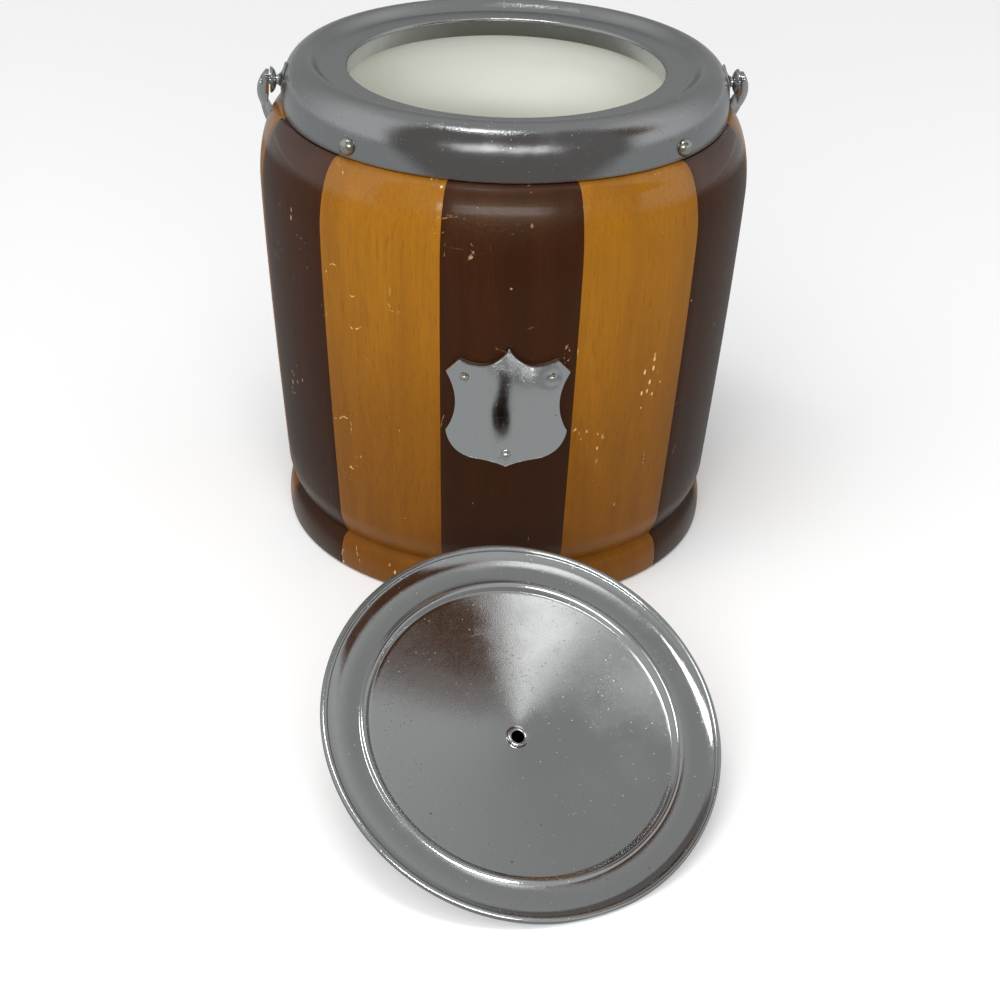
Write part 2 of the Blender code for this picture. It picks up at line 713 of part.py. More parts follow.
def plate_outline():
    top = PLATE_BASE + PLATE_THICKNESS
    edge = PLATE_THICKNESS / 2
    return [
        (RIVET_HOLE, PLATE_BASE),
        (PLATE_RADIUS, PLATE_BASE),
        (PLATE_RADIUS, PLATE_BASE + edge),
        (PLATE_RADIUS - edge, top),
        (RIVET_HOLE, top),
    ]


def knob_outline():
    bore_end = KNOB_BASE + RIVET_REACH + SEAT_GAP
    middle = KNOB_BASE + KNOB_STEM_LENGTH + KNOB_HALF_HEIGHT / 2
    outline = [(0, bore_end), (RIVET_HOLE, bore_end), (RIVET_HOLE, KNOB_BASE), (KNOB_FOOT, KNOB_BASE)]
    outline += [(KNOB_STEM, KNOB_BASE + KNOB_STEM_LENGTH * KNOB_FOOT_SHARE)]
    outline += arc((0, middle), (KNOB_RADIUS, KNOB_HALF_HEIGHT), -KNOB_UNDERCUT, 90, 9)
    return outline


def rivet_outline():
    flange_top = DOME_INSIDE_HEIGHT - SEAT_GAP
    flange_under = flange_top - RIVET_FLANGE_THICKNESS
    tip = KNOB_BASE + RIVET_REACH
    return [
        (RIVET_BORE, tip),
        (RIVET_BORE, flange_under),
        (RIVET_FLANGE - RIVET_FLANGE_THICKNESS / 2, flange_under),
        (RIVET_FLANGE, flange_top),
        (RIVET_OUTER, flange_top),
        (RIVET_OUTER, tip),
    ]


def reach_down(outline, tilt):
    """How far an outline reaches below the rim's centre when the lid is tilted."""
    return max(height * sin(tilt) + radius * cos(tilt) for radius, height in outline)


def lid_tilt():
    """The tilt at which the rim and the knob both touch the table."""
    low, high = radians(20), radians(89)
    for _ in range(HALVINGS):
        middle = (low + high) / 2
        if reach_down(lid_outline(), middle) > reach_down(knob_outline(), middle):
            low = middle
        else:
            high = middle
    return low


def make_lid(chrome, wood):
    tilt = lid_tilt()
    height = reach_down(lid_outline(), tilt)
    turn = Matrix.Rotation(LID_TURN, 4, "Z")
    tip = Matrix.Rotation(-radians(90) - tilt, 4, "X")
    place = Matrix.Translation((*LID_PLACE, height)) @ turn @ tip
    pieces = [
        add_object("lid_shell", turned(lid_outline(), ROUND_STEPS, closed=True), chrome),
        add_object("knob_plate", turned(plate_outline(), KNOB_STEPS, closed=True), chrome),
        add_object("knob", turned(knob_outline(), KNOB_STEPS), wood),
        add_object("lid_rivet", turned(rivet_outline(), KNOB_STEPS, closed=True), chrome),
    ]
    for piece in pieces:
        piece.matrix_world = place
    return place


def main():
    clear_scene()
    dark = make_material("dark_wood", (0.032, 0.010, 0.0045), 0.30, 0.0)
    honey = make_material("honey_wood", (0.30, 0.115, 0.009), 0.30, 0.0)
    plain = make_material("plain_wood", (0.40, 0.22, 0.09), 0.60, 0.0)
    glaze = make_material("cream_glaze", (0.74, 0.74, 0.65), 0.15, 0.0)
    chrome = make_material("chrome", (0.44, 0.45, 0.45), 0.12, 1.0)
    staves = make_staves(dark, honey)
    make_base_board(plain)
    make_liner(glaze)
    collar = make_collar(chrome)
    make_collar_pins(chrome, collar, staves)
    make_pivots(chrome)
    make_bail(chrome)
    plaque = make_plaque(chrome)
    make_plaque_pins(chrome, plaque, staves[0])
    place = make_lid(chrome, dark)
    print("bail hangs %.2f degrees below level" % degrees(bail_rest_angle()))
    print("lid tilt %.2f degrees, rim centre %.2f mm up" % (degrees(lid_tilt()), place.translation.z / MM))
    print("crest %.2f mm, ledge %.2f mm" % (CREST_Z / MM, LEDGE_Z / MM))


main()
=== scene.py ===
# %% [markdown]
# # A staved biscuit barrel
# A turned barrel of dark and honey-coloured staves, with a pressed chrome collar, a cream
# glazed liner, a swing bail and a small blank shield. Its chrome lid lies upside down in front.
# The measured model gives every piece its place. This lesson puts a finer surface on each one.

# %% Load the measured model
from math import asin, cos, hypot, pi, radians, sin, sqrt

import bmesh
import bpy
from mathutils import Matrix, Vector


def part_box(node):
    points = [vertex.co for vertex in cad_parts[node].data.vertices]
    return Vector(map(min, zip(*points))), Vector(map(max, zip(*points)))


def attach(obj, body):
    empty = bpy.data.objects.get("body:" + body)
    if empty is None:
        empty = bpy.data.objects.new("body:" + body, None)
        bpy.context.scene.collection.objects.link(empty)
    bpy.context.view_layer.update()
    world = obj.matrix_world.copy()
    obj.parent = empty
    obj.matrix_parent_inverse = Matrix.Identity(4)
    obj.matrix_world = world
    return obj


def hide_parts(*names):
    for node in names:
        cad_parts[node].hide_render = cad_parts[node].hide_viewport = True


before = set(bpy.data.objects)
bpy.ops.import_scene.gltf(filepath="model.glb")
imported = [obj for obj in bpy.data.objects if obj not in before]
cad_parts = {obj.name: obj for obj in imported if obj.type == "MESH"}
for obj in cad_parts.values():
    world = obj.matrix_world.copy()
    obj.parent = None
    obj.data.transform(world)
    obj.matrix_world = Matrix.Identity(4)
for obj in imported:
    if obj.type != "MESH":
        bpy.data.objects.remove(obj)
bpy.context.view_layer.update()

print("pieces in the measured model:", len(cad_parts))

# %% [markdown]
# ## Sizes
# The finer pieces must fill the same space as the measured ones, so the sizes are the same.
# Everything is in metres. Heights are above the table and radii are from the barrel's axis.

# %% Sizes of the barrel
MM = 0.001
GAP = 0.3 * MM
STAVE_COUNT = 12
FOOT_RADIUS, FOOT_MIDDLE_Z, FOOT_EDGE = 73.1 * MM, 4.6 * MM, 0.8 * MM
GROOVE_RADIUS, GROOVE_Z = 70.0 * MM, 12.6 * MM
BELLY_FOOT_RADIUS, BELLY_FOOT_Z = 73.3 * MM, 23.0 * MM
BELLY_RADIUS, BELLY_Z = 80.1 * MM, 124.0 * MM
SHOULDER_RADIUS, SHOULDER_Z = 72.1 * MM, 146.0 * MM
STAVE_BORE, REBATE_RADIUS = 61.9 * MM, 64.9 * MM
BASE_THICKNESS = 9.0 * MM
SHEET, COLLAR_RADIUS, CREST_RADIUS = 1.0 * MM, 72.4 * MM, 64.5 * MM
SKIRT_TOP_Z, CREST_Z, LEDGE_Z = 152.0 * MM, 162.7 * MM, 159.6 * MM
LEDGE_OUTER_RADIUS, THROAT_RADIUS, LIP_ROUND = 59.2 * MM, 51.3 * MM, 1.3 * MM
THROAT_DEPTH = 6.3 * MM
PIVOT_Z = 153.9 * MM
COLLAR_TURN = radians(1.9)
box_low, box_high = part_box("collar")
print("collar in the measured model: %.1f mm across" % ((box_high[0] - box_low[0]) / MM))

# %% [markdown]
# ## One node group for everything that is turned
# Most of this object is round: staves, collar, liner, lid, knob, pins and studs. Each is a
# drawn outline swept about an axis. A Screw modifier could do that, but a node group also
# keeps each point's own place before the piece is moved. The finishes read that place, so
# the grain and the scratches stay on the piece.

# %% Build the turning node group
def wire(tree, source, target):
    tree.links.new(source, target)


def math_node(tree, operation, first, second=None):
    """A Math node; each input is a socket or a number. Gives its output."""
    node = tree.nodes.new("ShaderNodeMath")
    node.operation = operation
    for index, value in enumerate((first, second)):
        if value is None:
            continue
        if isinstance(value, (int, float)):
            node.inputs[index].default_value = value
        else:
            wire(tree, value, node.inputs[index])
    return node.outputs[0]


def times(tree, first, second):
    return math_node(tree, "MULTIPLY", first, second)


turning = bpy.data.node_groups.new("Turned piece", "GeometryNodeTree")
for name, kind in (
    ("Outline", "NodeSocketGeometry"), ("Steps", "NodeSocketInt"),
    ("First angle", "NodeSocketFloat"), ("Last angle", "NodeSocketFloat"),
    ("Board", "NodeSocketFloat"),
):
    turning.interface.new_socket(name, in_out="INPUT", socket_type=kind)
turning.interface.new_socket("Turned", in_out="OUTPUT", socket_type="NodeSocketGeometry")

given = turning.nodes.new("NodeGroupInput")
count = turning.nodes.new("GeometryNodeAttributeDomainSize")
wire(turning, given.outputs["Outline"], count.inputs[0])
grid = turning.nodes.new("GeometryNodeMeshGrid")
wire(turning, math_node(turning, "ADD", given.outputs["Steps"], 1), grid.inputs["Vertices X"])
wire(turning, count.outputs["Point Count"], grid.inputs["Vertices Y"])

index = turning.nodes.new("GeometryNodeInputIndex").outputs[0]
row = math_node(turning, "FLOOR", math_node(turning, "DIVIDE", index, count.outputs["Point Count"]))
place_on_outline = math_node(turning, "MODULO", index, count.outputs["Point Count"])
sample = turning.nodes.new("GeometryNodeSampleIndex")
sample.data_type = "FLOAT_VECTOR"
wire(turning, given.outputs["Outline"], sample.inputs["Geometry"])
wire(turning, turning.nodes.new("GeometryNodeInputPosition").outputs[0], sample.inputs["Value"])
wire(turning, place_on_outline, sample.inputs["Index"])
split = turning.nodes.new("ShaderNodeSeparateXYZ")
wire(turning, sample.outputs[0], split.inputs[0])

sweep = math_node(turning, "SUBTRACT", given.outputs["Last angle"], given.outputs["First angle"])
part = math_node(turning, "DIVIDE", row, given.outputs["Steps"])
gained = times(turning, sweep, part)
angle = math_node(turning, "ADD", given.outputs["First angle"], gained)
across = times(turning, split.outputs["X"], math_node(turning, "SINE", angle))
towards = times(turning, split.outputs["X"], math_node(turning, "COSINE", angle))
join = turning.nodes.new("ShaderNodeCombineXYZ")
wire(turning, across, join.inputs["X"])
wire(turning, times(turning, towards, -1.0), join.inputs["Y"])
wire(turning, split.outputs["Z"], join.inputs["Z"])

shape = turning.nodes.new("GeometryNodeSetPosition")
wire(turning, grid.outputs["Mesh"], shape.inputs["Geometry"])
wire(turning, join.outputs[0], shape.inputs["Position"])
last = shape.outputs[0]
for name, kind, value in (
    ("own", "FLOAT_VECTOR", join.outputs[0]), ("board", "FLOAT", given.outputs["Board"]),
):
    keep = turning.nodes.new("GeometryNodeStoreNamedAttribute")
    keep.data_type = kind
    keep.inputs["Name"].default_value = name
    wire(turning, last, keep.inputs["Geometry"])
    wire(turning, value, keep.inputs["Value"])
    last = keep.outputs[0]
merge = turning.nodes.new("GeometryNodeMergeByDistance")
merge.inputs["Distance"].default_value = 0.001 * MM
wire(turning, last, merge.inputs["Geometry"])
result = turning.nodes.new("NodeGroupOutput")
wire(turning, merge.outputs[0], result.inputs["Turned"])
print("turning group nodes:", len(turning.nodes))

# %% Turn an outline into a finished piece
def set_input(modifier, group, name, value):
    for item in group.interface.items_tree:
        if item.name == name and item.in_out == "INPUT":
            modifier[item.identifier] = value


def finish_mesh(name, bm, material, place=Matrix(), smooth=40, bevel=0.0):
    """Face the mesh outwards, soften sharp edges, place it and shade it."""
    bmesh.ops.recalc_face_normals(bm, faces=bm.faces[:])
    if bevel:
        sharp = [e for e in bm.edges if e.is_manifold and e.calc_face_angle() > radians(smooth)]
        bmesh.ops.bevel(bm, geom=sharp, offset=bevel, segments=2, profile=0.6,
                        affect="EDGES", clamp_overlap=True)
    bm.transform(place)
    mesh = bpy.data.meshes.new(name)
    bm.to_mesh(mesh)
    bm.free()
    mesh.materials.clear()
    mesh.materials.append(material)
    mesh.shade_smooth()
    mesh.set_sharp_from_angle(angle=radians(smooth))
    piece = bpy.data.objects.new(name, mesh)
    bpy.context.scene.collection.objects.link(piece)
    return piece


def turned(name, outline, material, steps=128, span=(0.0, 2 * pi), board=0.0, closed=False,
           **finish):
    """Sweep an outline of (radius, height) about its axis with the node group."""
    points = outline + outline[:1] if closed else outline
    drawing = bpy.data.meshes.new(name + "_outline")
    drawing.from_pydata([(r, 0, h) for r, h in points], [], [])
    blank = bpy.data.objects.new(name + "_outline", drawing)
    bpy.context.scene.collection.objects.link(blank)
    modifier = blank.modifiers.new("Turn", "NODES")
    modifier.node_group = turning
    inputs = {"Steps": steps, "First angle": span[0], "Last angle": span[1], "Board": board}
    for key, value in inputs.items():
        set_input(modifier, turning, key, value)
    evaluated = blank.evaluated_get(bpy.context.evaluated_depsgraph_get())
    mesh = bpy.data.meshes.new_from_object(evaluated)
    bm = bmesh.new()
    bm.from_mesh(mesh)
    if span[1] - span[0] < 6.28:
        open_edges = [edge for edge in bm.edges if edge.is_boundary]
        bmesh.ops.holes_fill(bm, edges=open_edges, sides=0)
    bpy.data.objects.remove(blank)
    bpy.data.meshes.remove(mesh)
    return finish_mesh(name, bm, material, **finish)


def arc(centre, radii, start, end, steps):
    """Points on an ellipse's arc, both ends included; angles in degrees."""
    points = []
    for step in range(steps + 1):
        turn = radians(start + (end - start) * step / steps)
        points.append((centre[0] + radii[0] * cos(turn), centre[1] + radii[1] * sin(turn)))
    return points


def offset_path(path, distance):
    """The path moved to its left by distance, with mitred corners."""
    moved = []
    for number, point in enumerate(path):
        normals = []
        for first, second in ((number - 1, number), (number, number + 1)):
            if 0 <= first and second < len(path):
                run = Vector(path[second]) - Vector(path[first])
                normals.append(Vector((-run.y, run.x)).normalized())
        total = normals[0] + normals[-1]
        scale = distance * 2 / total.length_squared
        moved.append((point[0] + total.x * scale, point[1] + total.y * scale))
    return moved


# %% [markdown]
# ## Finishes
# The barrel has two kinds of surface: varnished wood and plated metal. Both are more than a
# colour. Wood has fibres that run up the stave, darker pores and a slow change of tone. The
# plating has fine pits, hairlines and a haze that breaks up its reflections. Grain, knocks
# and worn plating are three shader node groups that give only masks, so that several
# finishes can share them.

# %% Helpers for shader nodes
def new_group(name, inputs, outputs):
    """An empty shader group with named inputs and Float outputs, and its two end nodes."""
    group = bpy.data.node_groups.new(name, "ShaderNodeTree")
    for key, kind in inputs:
        group.interface.new_socket(key, in_out="INPUT", socket_type=kind)
    for key in outputs:
        group.interface.new_socket(key, in_out="OUTPUT", socket_type="NodeSocketFloat")
    return group, group.nodes.new("NodeGroupInput"), group.nodes.new("NodeGroupOutput")


def stretched(tree, vector, scale, shift=(0, 0, 0), turn=(0, 0, 0)):
    """A Mapping node's output."""
    node = tree.nodes.new("ShaderNodeMapping")
    node.inputs["Scale"].default_value = scale
    node.inputs["Location"].default_value = shift
    node.inputs["Rotation"].default_value = turn
    wire(tree, vector, node.inputs["Vector"])
    return node.outputs[0]


def noise(tree, vector, scale, detail, roughness=0.5, distortion=0.0):
    node = tree.nodes.new("ShaderNodeTexNoise")
    node.inputs["Scale"].default_value = scale
    node.inputs["Detail"].default_value = detail
    node.inputs["Roughness"].default_value = roughness
    node.inputs["Distortion"].default_value = distortion
    wire(tree, vector, node.inputs["Vector"])
    return node.outputs[0]


def ramp(tree, value, low, high, to_low=0.0, to_high=1.0):
    """A smooth Map Range from low..high."""
    node = tree.nodes.new("ShaderNodeMapRange")
    node.interpolation_type = "SMOOTHSTEP"
    limits = {"From Min": low, "From Max": high, "To Min": to_low, "To Max": to_high}
    for key, number in limits.items():
        node.inputs[key].default_value = number
    wire(tree, value, node.inputs["Value"])
    return node.outputs[0]


def line_mask(tree, value, width):
    """Thin lines where a noise value crosses its middle."""
    distance = math_node(tree, "ABSOLUTE", math_node(tree, "SUBTRACT", value, 0.5))
    return ramp(tree, distance, 0.0, width, 1.0, 0.0)


def specks(tree, vector, scale, size, share):
    """Small round dots in a few of the cells of a Voronoi pattern."""
    node = tree.nodes.new("ShaderNodeTexVoronoi")
    node.inputs["Scale"].default_value = scale
    wire(tree, vector, node.inputs["Vector"])
    chosen = tree.nodes.new("ShaderNodeSeparateColor")
    wire(tree, node.outputs["Color"], chosen.inputs[0])
    picked = math_node(tree, "LESS_THAN", chosen.outputs[0], share)
    radius = times(tree, chosen.outputs[1], size)
    inside = math_node(tree, "DIVIDE", node.outputs["Distance"], radius)
    return times(tree, ramp(tree, inside, 0.6, 1.0, 1.0, 0.0), picked)


def mix_colour(tree, factor, first, second, blend="MIX"):
    """Mixes two colours, each a socket or an RGB tuple; the factor is a socket."""
    node = tree.nodes.new("ShaderNodeMix")
    node.data_type = "RGBA"
    node.blend_type = blend
    for key, value in (("Factor", factor), ("A", first), ("B", second)):
        sockets = [s for s in node.inputs if s.name == key and s.enabled]
        if isinstance(value, tuple):
            sockets[0].default_value = (*value, 1.0)
        else:
            wire(tree, value, sockets[0])
    return [s for s in node.outputs if s.enabled][0]


def use_group(tree, group, **inputs):
    node = tree.nodes.new("ShaderNodeGroup")
    node.node_tree = group
    for key, value in inputs.items():
        wire(tree, value, node.inputs[key])
    return node


def start_material(name, **settings):
    """A material with its Principled shader and the piece's own place, read from an attribute."""
    material = bpy.data.materials.new(name)
    material.use_nodes = True
    tree = material.node_tree
    shader = tree.nodes["Principled BSDF"]
    for key, value in settings.items():
        shader.inputs[key.replace("_", " ")].default_value = value
    own = tree.nodes.new("ShaderNodeAttribute")
    own.attribute_name = "own"
    return material, tree, shader, own.outputs["Vector"]


def bump(tree, shader, height, distance, strength):
    node = tree.nodes.new("ShaderNodeBump")
    node.inputs["Distance"].default_value = distance
    node.inputs["Strength"].default_value = strength
    wire(tree, height, node.inputs["Height"])
    wire(tree, node.outputs[0], shader.inputs["Normal"])


# %% Group for the grain
grain_group, grain_in, grain_out = new_group(
    "Long grain", [("Place", "NodeSocketVector"), ("Board", "NodeSocketFloat")],
    ["Fibre", "Pores", "Figure", "Tone"],
)
tree = grain_group
shift = tree.nodes.new("ShaderNodeCombineXYZ")
for axis, amount in (("X", 0.37), ("Y", 0.71), ("Z", 1.9)):
    wire(tree, times(tree, grain_in.outputs["Board"], amount), shift.inputs[axis])
moved = tree.nodes.new("ShaderNodeVectorMath")
wire(tree, grain_in.outputs["Place"], moved.inputs[0])
wire(tree, shift.outputs[0], moved.inputs[1])
place = moved.outputs[0]
fibre = noise(tree, stretched(tree, place, (1, 1, 0.03)), 1100, 3, 0.6)
pores = noise(tree, stretched(tree, place, (1, 1, 0.035)), 2300, 1)
figure = noise(tree, stretched(tree, place, (1, 1, 0.10)), 120, 3, 0.55, 0.6)
tone = noise(tree, stretched(tree, place, (1, 1, 0.35)), 22, 2)
wire(tree, fibre, grain_out.inputs["Fibre"])
wire(tree, ramp(tree, pores, 0.60, 0.72), grain_out.inputs["Pores"])
wire(tree, figure, grain_out.inputs["Figure"])
wire(tree, tone, grain_out.inputs["Tone"])
print(grain_group.name, "has", len(grain_group.nodes), "nodes")

# %% Group for scratches and chips
knock_group, knock_in, knock_out = new_group(
    "Knocks", [("Place", "NodeSocketVector")], ["Scratches", "Chips"],
)
tree = knock_group
where = knock_in.outputs["Place"]
slanted = stretched(tree, where, (1, 1, 0.35), turn=(0.5, 0.3, 0.2))
level = stretched(tree, where, (0.3, 0.3, 1.8), (3, 1, 2))
lines = line_mask(tree, noise(tree, slanted, 120, 1), 0.010)
lines_2 = line_mask(tree, noise(tree, level, 150, 1), 0.008)
sparse = ramp(tree, noise(tree, where, 50, 1), 0.64, 0.69)
elsewhere = stretched(tree, where, (1, 1, 1), (5, 5, 5))
sparse_2 = ramp(tree, noise(tree, elsewhere, 44, 1), 0.69, 0.73)
broken = ramp(tree, noise(tree, where, 700, 1), 0.48, 0.56)
both = math_node(tree, "MAXIMUM", times(tree, lines, sparse), times(tree, lines_2, sparse_2))
wire(tree, times(tree, both, broken), knock_out.inputs["Scratches"])
struck = ramp(tree, noise(tree, stretched(tree, where, (1, 1, 0.7), (9, 2, 4)), 38, 1), 0.66, 0.71)
flakes = specks(tree, stretched(tree, where, (1, 1, 0.5)), 560, 0.34, 0.55)
single = specks(tree, where, 190, 0.10, 0.05)
chips = math_node(tree, "MAXIMUM", times(tree, flakes, struck), single)
wire(tree, chips, knock_out.inputs["Chips"])
print(knock_group.name, "has", len(knock_group.nodes), "nodes")

# %% Group for worn plating
plating_group, plating_in, plating_out = new_group(
    "Worn plating", [("Place", "NodeSocketVector")], ["Pits", "Haze", "Hairlines", "Ripple"],
)
tree = plating_group
spot = plating_in.outputs["Place"]
pit_zone = ramp(tree, noise(tree, spot, 60, 2), 0.42, 0.62)
fine_pits = specks(tree, spot, 1500, 0.34, 0.30)
wide_pits = specks(tree, spot, 480, 0.22, 0.10)
pits = math_node(tree, "MAXIMUM", times(tree, fine_pits, pit_zone), wide_pits)
wire(tree, pits, plating_out.inputs["Pits"])
wire(tree, noise(tree, spot, 38, 3, 0.6), plating_out.inputs["Haze"])
one_way = stretched(tree, spot, (1, 0.06, 0.5), turn=(0.2, 0.4, 0.9))
other_way = stretched(tree, spot, (0.05, 1, 0.6), turn=(0.5, 0.1, 2.0))
hair = line_mask(tree, noise(tree, one_way, 420, 1), 0.010)
hair_2 = line_mask(tree, noise(tree, other_way, 380, 1), 0.008)
wire(tree, math_node(tree, "MAXIMUM", hair, hair_2), plating_out.inputs["Hairlines"])
wire(tree, noise(tree, spot, 90, 2), plating_out.inputs["Ripple"])
print(plating_group.name, "has", len(plating_group.nodes), "nodes")

# %% [markdown]
# ## Varnished wood
# A clear coat lies over the wood, so the shader has a rough coloured base and a smooth coat.
# The scratches go through the varnish and show pale wood, and they are dull. The varnish is
# glossier where the shoulder turns over, and painted shade darkens the wood towards the foot.

# %% Wood finishes
GLOSS_FROM_Z, GLOSS_FULL_Z, SHOULDER_GLOSS = 135 * MM, 139 * MM, 0.92
# Painted shade: below this height the wood colour is multiplied darker towards the foot.
FOOT_PAINTED_SHADE_TOP_Z, FOOT_PAINTED_SHADE = 120 * MM, 0.85


def wood(name, light, deep, pore, scar, coat=0.08, rough=0.42):
    material, tree, shader, own = start_material(
        name, Coat_Roughness=0.12, Specular_IOR_Level=0.26, Specular_Tint=(1.0, 0.78, 0.50, 1.0))
    board = tree.nodes.new("ShaderNodeAttribute")
    board.attribute_name = "board"
    grain = use_group(tree, grain_group, Place=own, Board=board.outputs["Fac"])
    knocks = use_group(tree, knock_group, Place=own)
    split = tree.nodes.new("ShaderNodeSeparateXYZ")
    wire(tree, own, split.inputs[0])
    height = split.outputs["Z"]

    tone = math_node(tree, "ADD", times(tree, grain.outputs["Figure"], 0.6),
                     times(tree, grain.outputs["Tone"], 0.4))
    base = mix_colour(tree, ramp(tree, tone, 0.30, 0.70), deep, light)
    base = mix_colour(tree, ramp(tree, grain.outputs["Fibre"], 0.35, 0.65, 0.0, 0.4), base, deep)
    base = mix_colour(tree, times(tree, grain.outputs["Pores"], 0.35), base, pore)
    # Painted shade: the base colour is multiplied darker towards the foot, in place of light
    # falling off near the table.
    painted_foot_shade = ramp(tree, height, 0.0, FOOT_PAINTED_SHADE_TOP_Z, FOOT_PAINTED_SHADE, 0.0)
    base = mix_colour(tree, painted_foot_shade, base, (0.56, 0.46, 0.34), "MULTIPLY")
    marks = math_node(tree, "MAXIMUM", knocks.outputs["Scratches"], knocks.outputs["Chips"])
    base = mix_colour(tree, times(tree, marks, 0.85), base, scar)
    wire(tree, base, shader.inputs["Base Color"])

    varied = math_node(tree, "MULTIPLY_ADD", grain.outputs["Tone"], 0.16)
    varied.node.inputs[2].default_value = rough - 0.08
    dull = math_node(tree, "ADD", varied, times(tree, marks, 0.3))
    wire(tree, dull, shader.inputs["Roughness"])
    glossy = ramp(tree, height, GLOSS_FROM_Z, GLOSS_FULL_Z, 0.0, SHOULDER_GLOSS)
    sealed = math_node(tree, "ADD", coat, glossy)
    worn = math_node(tree, "SUBTRACT", sealed, times(tree, marks, coat))
    wire(tree, worn, shader.inputs["Coat Weight"])

    raised = times(tree, grain.outputs["Fibre"], 0.35)
    relief = math_node(tree, "SUBTRACT", raised, grain.outputs["Pores"])
    relief = math_node(tree, "SUBTRACT", relief, marks)
    peel = times(tree, noise(tree, own, 1700, 1), 2.4)
    bump(tree, shader, math_node(tree, "ADD", relief, peel), 0.05 * MM, 0.6)
    return material


dark_wood = wood(
    "dark_wood_varnished", light=(0.038, 0.0085, 0.0010), deep=(0.024, 0.0048, 0.0007),
    pore=(0.010, 0.003, 0.0015), scar=(0.36, 0.22, 0.12))
honey_wood = wood(
    "honey_wood_varnished", light=(0.275, 0.106, 0.0020), deep=(0.205, 0.074, 0.0015),
    pore=(0.110, 0.036, 0.003), scar=(0.72, 0.48, 0.19))
plain_wood = wood(
    "plain_wood_board", light=(0.50, 0.30, 0.14), deep=(0.40, 0.22, 0.09),
    pore=(0.22, 0.11, 0.04), scar=(0.6, 0.42, 0.25), coat=0.0, rough=0.6)
print("woods:", dark_wood.name, honey_wood.name, plain_wood.name)

# %% [markdown]
# ## Plated metal and glaze
# Chrome is a metal shader with a pale grey colour. What makes it look old is uneven
# roughness, so reflections are sharp in one place and soft in another.

# %% Chrome finishes
PIT_COLOUR, FLECK_COLOUR = (0.10, 0.09, 0.08), (0.72, 0.72, 0.70)


def chrome(name, tint, rough, haze, pitting, ripple, speckle):
    material, tree, shader, own = start_material(name, Metallic=1.0)
    plating = use_group(tree, plating_group, Place=own)
    spots = times(tree, plating.outputs["Pits"], pitting)
    flecks = times(tree, specks(tree, own, 900, 0.26, 0.18), pitting)
    base = mix_colour(tree, flecks, mix_colour(tree, spots, tint, PIT_COLOUR), FLECK_COLOUR)
    wire(tree, base, shader.inputs["Base Color"])

    soft = ramp(tree, plating.outputs["Haze"], 0.35, 0.68, rough, rough + haze)
    soft = math_node(tree, "ADD", soft, times(tree, plating.outputs["Hairlines"], 0.05))
    dull = times(tree, math_node(tree, "ADD", spots, flecks), 0.4)
    wire(tree, math_node(tree, "ADD", soft, dull), shader.inputs["Roughness"])

    relief = times(tree, plating.outputs["Ripple"], ripple)
    relief = math_node(tree, "ADD", relief, times(tree, noise(tree, own, 4000, 1), speckle))
    relief = math_node(tree, "SUBTRACT", relief, times(tree, spots, 0.25))
    bump(tree, shader, relief, 0.08 * MM, 0.7)
    return material


# Each line: tint, roughness, haze, pitting, ripple, speckle.
collar_chrome = chrome("chrome_collar", (0.42, 0.43, 0.435), 0.07, 0.13, 0.65, 0.45, 0.60)
lid_chrome = chrome("chrome_lid", (0.42, 0.43, 0.43), 0.06, 0.11, 0.60, 0.35, 0.17)
bright_chrome = chrome("chrome_fittings", (0.48, 0.49, 0.49), 0.05, 0.08, 0.45, 0.3, 0.03)
plaque_chrome = chrome("chrome_plaque", (0.64, 0.65, 0.65), 0.06, 0.06, 0.60, 0.35, 0.07)
pin_metal = chrome("chrome_pins", (0.47, 0.47, 0.42), 0.20, 0.14, 0.6, 0.5, 0.2)
metals = (collar_chrome, lid_chrome, bright_chrome, plaque_chrome, pin_metal)
print("metals:", [finish.name for finish in metals])

# %% Glaze
glaze, tree, shader, own = start_material(
    "cream_glaze", Roughness=0.16, Coat_Weight=0.4, Coat_Roughness=0.05)
clouds = ramp(tree, noise(tree, own, 30, 2), 0.3, 0.7)
cream = mix_colour(tree, clouds, (0.70, 0.71, 0.63), (0.73, 0.74, 0.67))
wire(tree, cream, shader.inputs["Base Color"])
bump(tree, shader, noise(tree, own, 160, 1), 0.05 * MM, 0.3)
print("glaze:", glaze.name)

# %% [markdown]
# ## Staves
# Twelve staves make the wall, dark and honey in turn. On the real barrel they are glued and
# then turned together, so their joints are tight and the outline is one smooth curve. Here
# that curve is a formula, and the node group sweeps it through each stave's own angle.

# %% The barrel's outline
def body_radius(z):
    if z <= GROOVE_Z:
        reach = min(1.0, abs(z - FOOT_MIDDLE_Z) / (GROOVE_Z - FOOT_MIDDLE_Z))
        return GROOVE_RADIUS + (FOOT_RADIUS - GROOVE_RADIUS) * sqrt(1 - reach ** 2)
    if z <= BELLY_FOOT_Z:
        rise = (z - GROOVE_Z) / (BELLY_FOOT_Z - GROOVE_Z)
        return GROOVE_RADIUS + (BELLY_FOOT_RADIUS - GROOVE_RADIUS) * sin(pi / 2 * rise)
    if z <= BELLY_Z:
        rise = (z - BELLY_FOOT_Z) / (BELLY_Z - BELLY_FOOT_Z)
        return BELLY_FOOT_RADIUS + (BELLY_RADIUS - BELLY_FOOT_RADIUS) * (1 - (1 - rise) ** 1.25)
    reach = min(1.0, (z - BELLY_Z) / (SHOULDER_Z - BELLY_Z))
    return SHOULDER_RADIUS + (BELLY_RADIUS - SHOULDER_RADIUS) * sqrt(1 - reach ** 2)


def spread(low, high, steps):
    return [low + (high - low) * step / steps for step in range(steps)]


